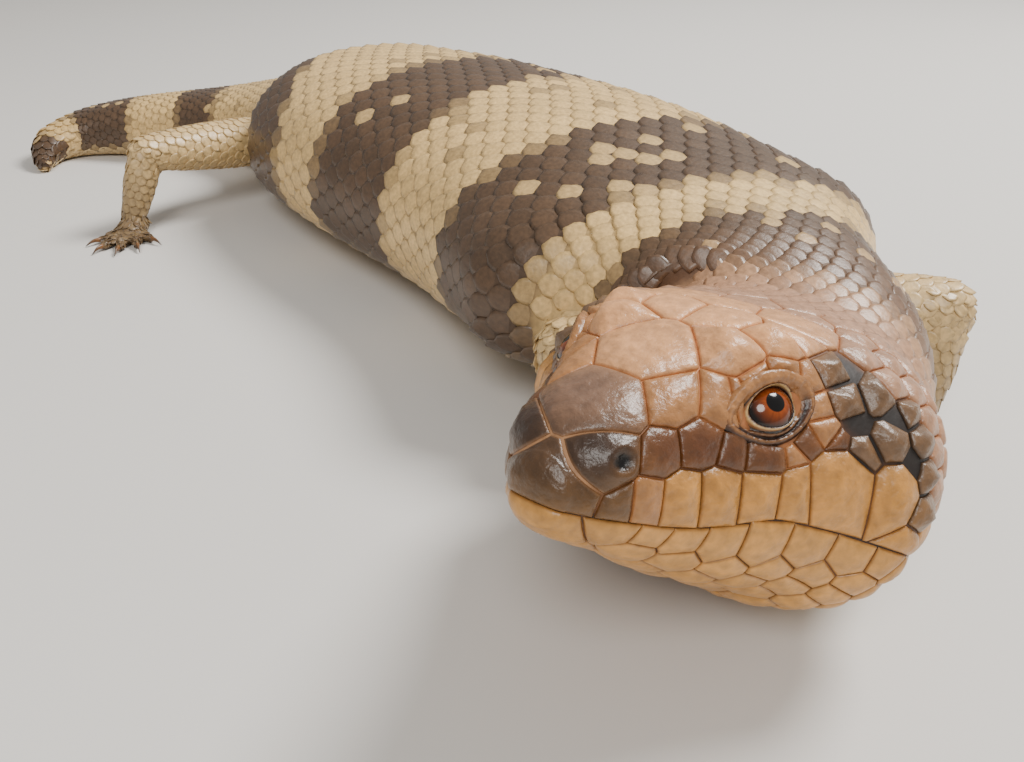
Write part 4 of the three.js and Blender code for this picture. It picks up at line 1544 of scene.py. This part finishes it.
def build_eye(side, name):
    """Eyeball with a dark pupil, an orange-brown iris and a wet surface."""
    spot, outward, _, _ = eye_frame(side)
    gaze = unit(np.array([-EYE_GAZE[0], EYE_GAZE[1] * side, EYE_GAZE[2]]))
    helper = unit(np.cross(gaze, [0, 0, 1.0]))
    other = np.cross(gaze, helper)
    pupil_gap, iris_start, iris_gap, white_start = EYE_EDGES
    angles = np.r_[np.linspace(EYE_POLES[0], PUPIL_ANGLE, EYE_RINGS[0]), PUPIL_ANGLE + pupil_gap,
                   np.linspace(PUPIL_ANGLE + iris_start, IRIS_ANGLE, EYE_RINGS[1]), IRIS_ANGLE + iris_gap,
                   np.linspace(IRIS_ANGLE + white_start, math.pi - EYE_POLES[1], EYE_RINGS[2])]
    turns = np.arange(EYE_SIDES) / EYE_SIDES * TAU
    round_gaze = np.cos(turns)[:, None] * helper + np.sin(turns)[:, None] * other
    rings = np.cos(angles)[:, None, None] * gaze + np.sin(angles)[:, None, None] * round_gaze
    points = (spot - outward * EYE_BALL_DEPTH + rings * EYE_BALL_RADIUS).reshape(-1, 3)
    share = np.clip((angles - PUPIL_ANGLE) / (IRIS_ANGLE - PUPIL_ANGLE), 0, 1)[:, None]
    colours = mixed_tone(TONES["iris_inner"], TONES["iris_outer"], share)
    colours = np.where(angles[:, None] <= PUPIL_ANGLE + 1e-6, TONES["pupil"], colours)
    colours = np.where(angles[:, None] > IRIS_ANGLE + iris_gap / 2, TONES["eye_rim"], colours)
    rays = 1 - IRIS_RAYS[2] * (1 - np.cos(turns * IRIS_RAYS[0]) * np.cos(turns * IRIS_RAYS[1]))
    radius = (angles / math.pi * EYE_MAP_RADIUS)[:, None]
    places = np.stack([0.5 + radius * np.cos(turns), 0.5 + radius * np.sin(turns)], -1).reshape(-1, 2)
    thing = new_object(name, head_to_row(points), grid_faces(len(angles), EYE_SIDES, 0, True))
    set_tone(thing.data, (colours[:, None] * rays[None, :, None]).reshape(-1, 3))
    set_map(thing.data, places[corner_vertices(thing.data)])
    return thing


def build_lids(side, name, surface):
    """Ring of lids round an eye: a pale rim, a groove and two wrinkled folds under a smooth brow, with
    painted shade in the groove, at the socket's edge and in the creases of the folds.
    """
    spot, outward, forward, upward = eye_frame(side)
    turns = np.arange(LID_STEPS) / LID_STEPS * TAU
    ahead, above = np.cos(turns), np.sin(turns)
    beads = 0.5 + 0.25 * sum(np.sin(turns * count + start) for count, start in LID_WRINKLES)
    brow = smoothstep((above + BROW_FADE[0]) / BROW_FADE[1])
    under = smoothstep(-above / UNDER_FADE)
    corners = LID_CORNERS[0] * np.clip(ahead, 0, 1) ** 4 + LID_CORNERS[1] * np.clip(-ahead, 0, 1) ** 4
    points = []
    tones = []
    maps = []
    for share, height, tone, bead in LID_PROFILE:
        settle = smoothstep((share - 1.0) / SETTLE_REACH)
        stretch = 1 + corners * settle
        reach = np.stack([EYE_OPENING[0] * share * ahead * stretch, EYE_OPENING[1] * share * above], -1)
        outer = brow * smoothstep((share - BROW_FROM) / BROW_REACH) * BROW_BLEND
        ball = np.sqrt(np.maximum(EYE_BALL_RADIUS ** 2 - (reach ** 2).sum(-1), LEAST_BALL))
        ball -= EYE_BALL_DEPTH
        ring = spot + forward * reach[:, :1] + upward * reach[:, 1:]
        hood = HOOD * np.clip(above, 0, 1) * smoothstep((share - 1.0) / HOOD_REACH)
        flat = outer if height > DEEPEST_FLAT else 0
        lift = height * (1 - flat) + bead * LID_RELIEF * (beads - 0.5) + hood
        normals, on_face = surface.settle(ring)
        base = (ring + outward * ball[:, None]) * (1 - settle) + on_face * settle
        way = unit(outward * (1 - settle) + normals * settle)
        points.append(base + way * lift[:, None])
        # Painted shade in the creases between the beads
        colour = mixed_tone(TONES[tone] * (1 - BEAD_SHADE * bead * (1 - beads[:, None])), TONES["tan"],
                            outer[:, None])
        shade = UNDER_SHADE * under * smoothstep((share - SHADE_START[0]) / SHADE_START[1])
        tones.append(colour * (1 - shade[:, None]))
        maps.append(body_map(EYE_SPOT[0] - HEAD_LENGTH - reach[:, 0], side * (LID_MAP_HEIGHT - reach[:, 1])))
    faces = grid_faces(len(points), LID_STEPS)
    last = (len(points) - 1) * LID_STEPS
    for c in range(LID_STEPS):
        d = (c + 1) % LID_STEPS
        faces.append((last + c, c, d, last + d))
    return plates_object(name, (head_to_row(np.concatenate(points)), faces, np.concatenate(tones),
                                np.concatenate(maps)))


# Claws
CLAW_LENGTH = 2.7
CLAW_RADIUS = 0.62
CLAW_TAPER = 0.86
CLAW_ARCH = 0.35
CLAW_FALL = 0.62
CLAW_FLATNESS = 0.72
CLAW_SIDES = 12
CLAW_STEPS = 9
CLAW_ROOT = 0.5
CLAW_SHARPNESS = 1.3
CLAW_ROOT_SHADE = 0.7
# Map of the claws: corner of the first, steps to the next in the row and to the next row, and size of each
CLAW_MAP = (0.05, 0.18, 0.2, 0.1)


def build_claws():
    """All twenty claws as one mesh of curved pointed spikes."""
    vertices = []
    faces = []
    tones = []
    maps = []
    corner, next_toe, next_limb, map_size = CLAW_MAP
    for number, limb in enumerate(LIMBS):
        for index in range(len(TOE_SPREAD)):
            (_, tip), way = toe_points(limb, index)
            way = np.r_[way, 0]
            side = np.array([-way[1], way[0], 0])
            faces += grid_faces(CLAW_STEPS + 1, CLAW_SIDES, len(vertices), True)
            for i in range(CLAW_STEPS + 1):
                t = i / CLAW_STEPS
                radius = CLAW_RADIUS * (1 - CLAW_TAPER * t ** CLAW_SHARPNESS)
                centre = tip + way * (CLAW_ROOT + (CLAW_LENGTH + TOE_RADIUS * TOE_TIP_SHARE) * t)
                centre[2] = tip[2] + CLAW_ARCH * math.sin(math.pi * t) - CLAW_FALL * t * t
                for k in range(CLAW_SIDES):
                    turn = k / CLAW_SIDES * TAU
                    point = centre + side * radius * CLAW_FLATNESS * math.cos(turn)
                    point[2] = max(point[2] + radius * math.sin(turn), FLOOR_GAP)
                    vertices.append(point)
                    tones.append(mixed_tone(TONES["tan"] * CLAW_ROOT_SHADE, TONES["claw"], t))
                    maps.append((corner + next_toe * index + map_size * t,
                                 corner + next_limb * number + map_size * k / CLAW_SIDES))
    return plates_object("claws", (vertices, faces, tones, maps))


# Add-on
class SkinkSettings(bpy.types.PropertyGroup):
    """Sizes of skin and scales."""

    coat_depth: bpy.props.FloatProperty(
        name="Coat depth", description="How far the skin lies under the surface of the scales",
        default=0.0005, unit="LENGTH")
    toe_coat_depth: bpy.props.FloatProperty(
        name="Toe coat depth", description="How far the skin of the toes lies under their scales",
        default=0.0002, unit="LENGTH")
    skin_cell: bpy.props.FloatProperty(
        name="Skin cell", description="Size of the cells that join the skin of body and legs",
        default=0.00075, unit="LENGTH")
    skin_softening: bpy.props.IntProperty(
        name="Skin softening", description="Rounds of smoothing of the skin", default=3)
    scale_rows: bpy.props.IntProperty(
        name="Scale rows", description="Rows of scales round the middle of the body", default=40)
    smallest_scale: bpy.props.FloatProperty(
        name="Smallest scale", description="Width under which rows of scales are left out towards the tail",
        default=0.0029, unit="LENGTH")
    scale_start: bpy.props.FloatProperty(
        name="Scale start", description="Where the scales start behind the nape",
        default=0.0006, unit="LENGTH")
    scale_pitch: bpy.props.FloatProperty(
        name="Scale pitch", description="Distance between rows as a share of a scale's width", default=0.8)
    scale_spread: bpy.props.FloatProperty(
        name="Scale spread", description="Width of a scale as a share of its place in the row", default=1.04)
    scale_stretch: bpy.props.FloatProperty(
        name="Scale stretch", description="Length of a scale as a share of its width", default=1.0)
    scale_variation: bpy.props.FloatProperty(
        name="Scale variation", description="How much scales differ in size", default=0.03)
    suture: bpy.props.FloatProperty(
        name="Suture", description="Width of the groove between head shields", default=0.00014, unit="LENGTH")
    shield_sink: bpy.props.FloatProperty(
        name="Shield sink", description="Depth of the groove between head shields",
        default=0.0004, unit="LENGTH")
    seed: bpy.props.IntProperty(name="Seed", description="Seed of all variation", default=7)


class StageSettings(bpy.types.PropertyGroup):
    """Sizes of the stage."""

    floor_size: bpy.props.FloatProperty(
        name="Floor size", description="Side of the floor", default=6.0, unit="LENGTH")
    lens: bpy.props.FloatProperty(name="Lens", description="Focal length of the camera in mm", default=33.4)


CAMERA_PLACE = (0.16206, -0.11628, 0.08648)
CAMERA_TURN = (math.radians(59.86), 0.0, math.radians(55.0))
SENSOR_WIDTH = 36.0
NEAREST_SEEN = 0.005
FLOOR_LOOK = {"Base Color": (0.62, 0.60, 0.57, 1.0), "Roughness": 0.9}
WORLD_LIGHT = {"Color": (1.0, 0.98, 0.95, 1.0), "Strength": 0.45}
# Lights: name, place, target, power, size, colour
LIGHTS = (("key", (0.10, 0.42, 0.62), (0.03, -0.03, 0.02), 9.0, 0.30, (1.0, 0.98, 0.95)),
          ("fill", (0.44, -0.42, 0.60), (0.05, -0.03, 0.02), 4.0, 0.35, (1.0, 0.97, 0.93)))
FLESH_NODES = ["head", "lower_jaw", "neck", "trunk_front", "trunk_middle", "trunk_rear",
               "tail_base", "tail_middle", "tail_tip"]
FLESH_NODES += [f"{part}_{limb['name']}" for limb in LIMBS for part in (limb["upper"], limb["lower"], "foot")]
CLAW_NODES = [f"claw_{limb['name']}_{i + 1}" for limb in LIMBS for i in range(len(TOE_SPREAD))]
# Pieces of scales, with the stretch of the body behind the nape or the parts of the limbs that each covers
BODY_PIECES = (("scales_neck", -50, 46), ("scales_trunk_front", 46, 94), ("scales_trunk_middle", 94, 136),
               ("scales_trunk_rear", 136, 190), ("scales_tail", 190, 400))
LIMB_PIECES = (("scales_legs", ("upper", "lower")), ("scales_feet", ("palm", "toe")))
SHARED = {}


def materials():
    """Materials of all pieces, made once."""
    if "materials" not in SHARED:
        SHARED["materials"] = {key: make_material(*row) for key, row in MATERIALS.items()}
    return SHARED["materials"]


def finish_piece(thing, material, slot, *nodes):
    """Joins a piece to the animal with its material and hides the solids that it stands for; the slot is not
    used.
    """
    thing.data.materials.clear()
    thing.data.materials.append(materials()[material])
    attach(thing, "root")
    if nodes:
        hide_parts(*nodes)


class SKINK_OT_skin(bpy.types.Operator):
    """Make one closed skin over the whole animal"""

    bl_idname = "skink.skin"
    bl_label = "Skin"

    def execute(self, context):
        skin = build_skin(context.scene.skink)
        finish_piece(skin, "skin", "body_scales", *FLESH_NODES)
        SHARED["tree"] = skin_tree(skin)
        return {"FINISHED"}


class SKINK_OT_scales(bpy.types.Operator):
    """Lay the scales of body, tail and legs over the skin"""

    bl_idname = "skink.scales"
    bl_label = "Scales"

    def execute(self, context):
        settings = context.scene.skink
        maker = ScaleMaker(scale_nodes(), materials()["scales"], settings)
        body = body_roots(SHARED["tree"], settings)
        for name, low, high in BODY_PIECES:
            roots = [root for root in body if low <= root[7] < high]
            finish_piece(maker.piece(name, roots), "scales", "body_scales")
        legs = limb_roots(SHARED["tree"], settings)
        for name, kinds in LIMB_PIECES:
            roots = [root for root in legs if root[7] in kinds]
            finish_piece(maker.piece(name, roots), "scales", "body_scales")
        drop_object(maker.plate)
        return {"FINISHED"}


class SKINK_OT_shields(bpy.types.Operator):
    """Cut the head shields and lip scales"""

    bl_idname = "skink.shields"
    bl_label = "Head shields"

    def execute(self, context):
        settings = context.scene.skink
        upper = plates_object("head_shields", build_shields(settings, True))
        finish_piece(upper, "shields", "head_shields")
        lower = plates_object("chin_shields", build_shields(settings, False))
        finish_piece(lower, "lips", "lip_scales")
        return {"FINISHED"}


class SKINK_OT_eyes(bpy.types.Operator):
    """Set the eyes in their lids"""

    bl_idname = "skink.eyes"
    bl_label = "Eyes"

    def execute(self, context):
        surface = HeadSurface()
        for side, word in ((1, "left"), (-1, "right")):
            finish_piece(build_eye(side, f"eyeball_{word}"), "eye", "eye", f"eye_{word}")
            finish_piece(build_lids(side, f"lids_{word}", surface), "shields", "head_shields")
        return {"FINISHED"}


class SKINK_OT_claws(bpy.types.Operator):
    """Set a curved claw on each toe"""

    bl_idname = "skink.claws"
    bl_label = "Claws"

    def execute(self, context):
        finish_piece(build_claws(), "claw", "claw", *CLAW_NODES)
        return {"FINISHED"}


def add_light(name, place, target, power, size, colour):
    """Round area light aimed at a point."""
    light = bpy.data.lights.new(name, "AREA")
    light.energy = power
    light.shape = "DISK"
    light.size = size
    light.color = colour
    thing = link_object(name, light)
    thing.location = place
    thing.rotation_euler = (Vector(target) - Vector(place)).to_track_quat("-Z", "Y").to_euler()


class SKINK_OT_stage(bpy.types.Operator):
    """Set up the floor, the lights and the camera"""

    bl_idname = "skink.stage"
    bl_label = "Stage"

    def execute(self, context):
        settings = context.scene.skink_stage
        half = settings.floor_size / 2 / MM
        floor = new_object("floor", [(-half, -half, 0), (half, -half, 0), (half, half, 0), (-half, half, 0)],
                           [(0, 1, 2, 3)])
        material = bpy.data.materials.new("plain_floor")
        material.use_nodes = True
        shader = material.node_tree.nodes["Principled BSDF"]
        set_inputs(material.node_tree, shader, FLOOR_LOOK)
        floor.data.materials.append(material)
        world = bpy.data.worlds.new("plain_light")
        world.use_nodes = True
        set_inputs(world.node_tree, world.node_tree.nodes["Background"], WORLD_LIGHT)
        context.scene.world = world
        for light in LIGHTS:
            add_light(*light)
        camera = bpy.data.cameras.new("camera")
        camera.lens = settings.lens
        camera.sensor_width = SENSOR_WIDTH
        camera.clip_start = NEAREST_SEEN
        thing = link_object("camera", camera)
        thing.location = CAMERA_PLACE
        thing.rotation_euler = CAMERA_TURN
        context.scene.camera = thing
        return {"FINISHED"}


class SKINK_PT_panel(bpy.types.Panel):
    """Steps and sizes of the animal"""

    bl_idname = "SKINK_PT_panel"
    bl_label = "Blue tongued skink"
    bl_space_type = "VIEW_3D"
    bl_region_type = "UI"
    bl_category = "Skink"

    def draw(self, context):
        layout = self.layout
        for operator in STEPS:
            layout.operator(operator.bl_idname)
        for name in SkinkSettings.__annotations__:
            layout.prop(context.scene.skink, name)
        for name in StageSettings.__annotations__:
            layout.prop(context.scene.skink_stage, name)


STEPS = (SKINK_OT_skin, SKINK_OT_scales, SKINK_OT_shields, SKINK_OT_eyes, SKINK_OT_claws, SKINK_OT_stage)
CLASSES = (SkinkSettings, StageSettings, *STEPS, SKINK_PT_panel)


def register():
    for cls in CLASSES:
        bpy.utils.register_class(cls)
    bpy.types.Scene.skink = bpy.props.PointerProperty(type=SkinkSettings)
    bpy.types.Scene.skink_stage = bpy.props.PointerProperty(type=StageSettings)


def unregister():
    del bpy.types.Scene.skink_stage
    del bpy.types.Scene.skink
    for cls in reversed(CLASSES):
        bpy.utils.unregister_class(cls)


def main():
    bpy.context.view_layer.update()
    register()
    bpy.ops.skink.skin()
    bpy.ops.skink.scales()
    bpy.ops.skink.shields()
    bpy.ops.skink.eyes()
    bpy.ops.skink.claws()
    bpy.ops.skink.stage()


if __name__ == "__main__":
    main()
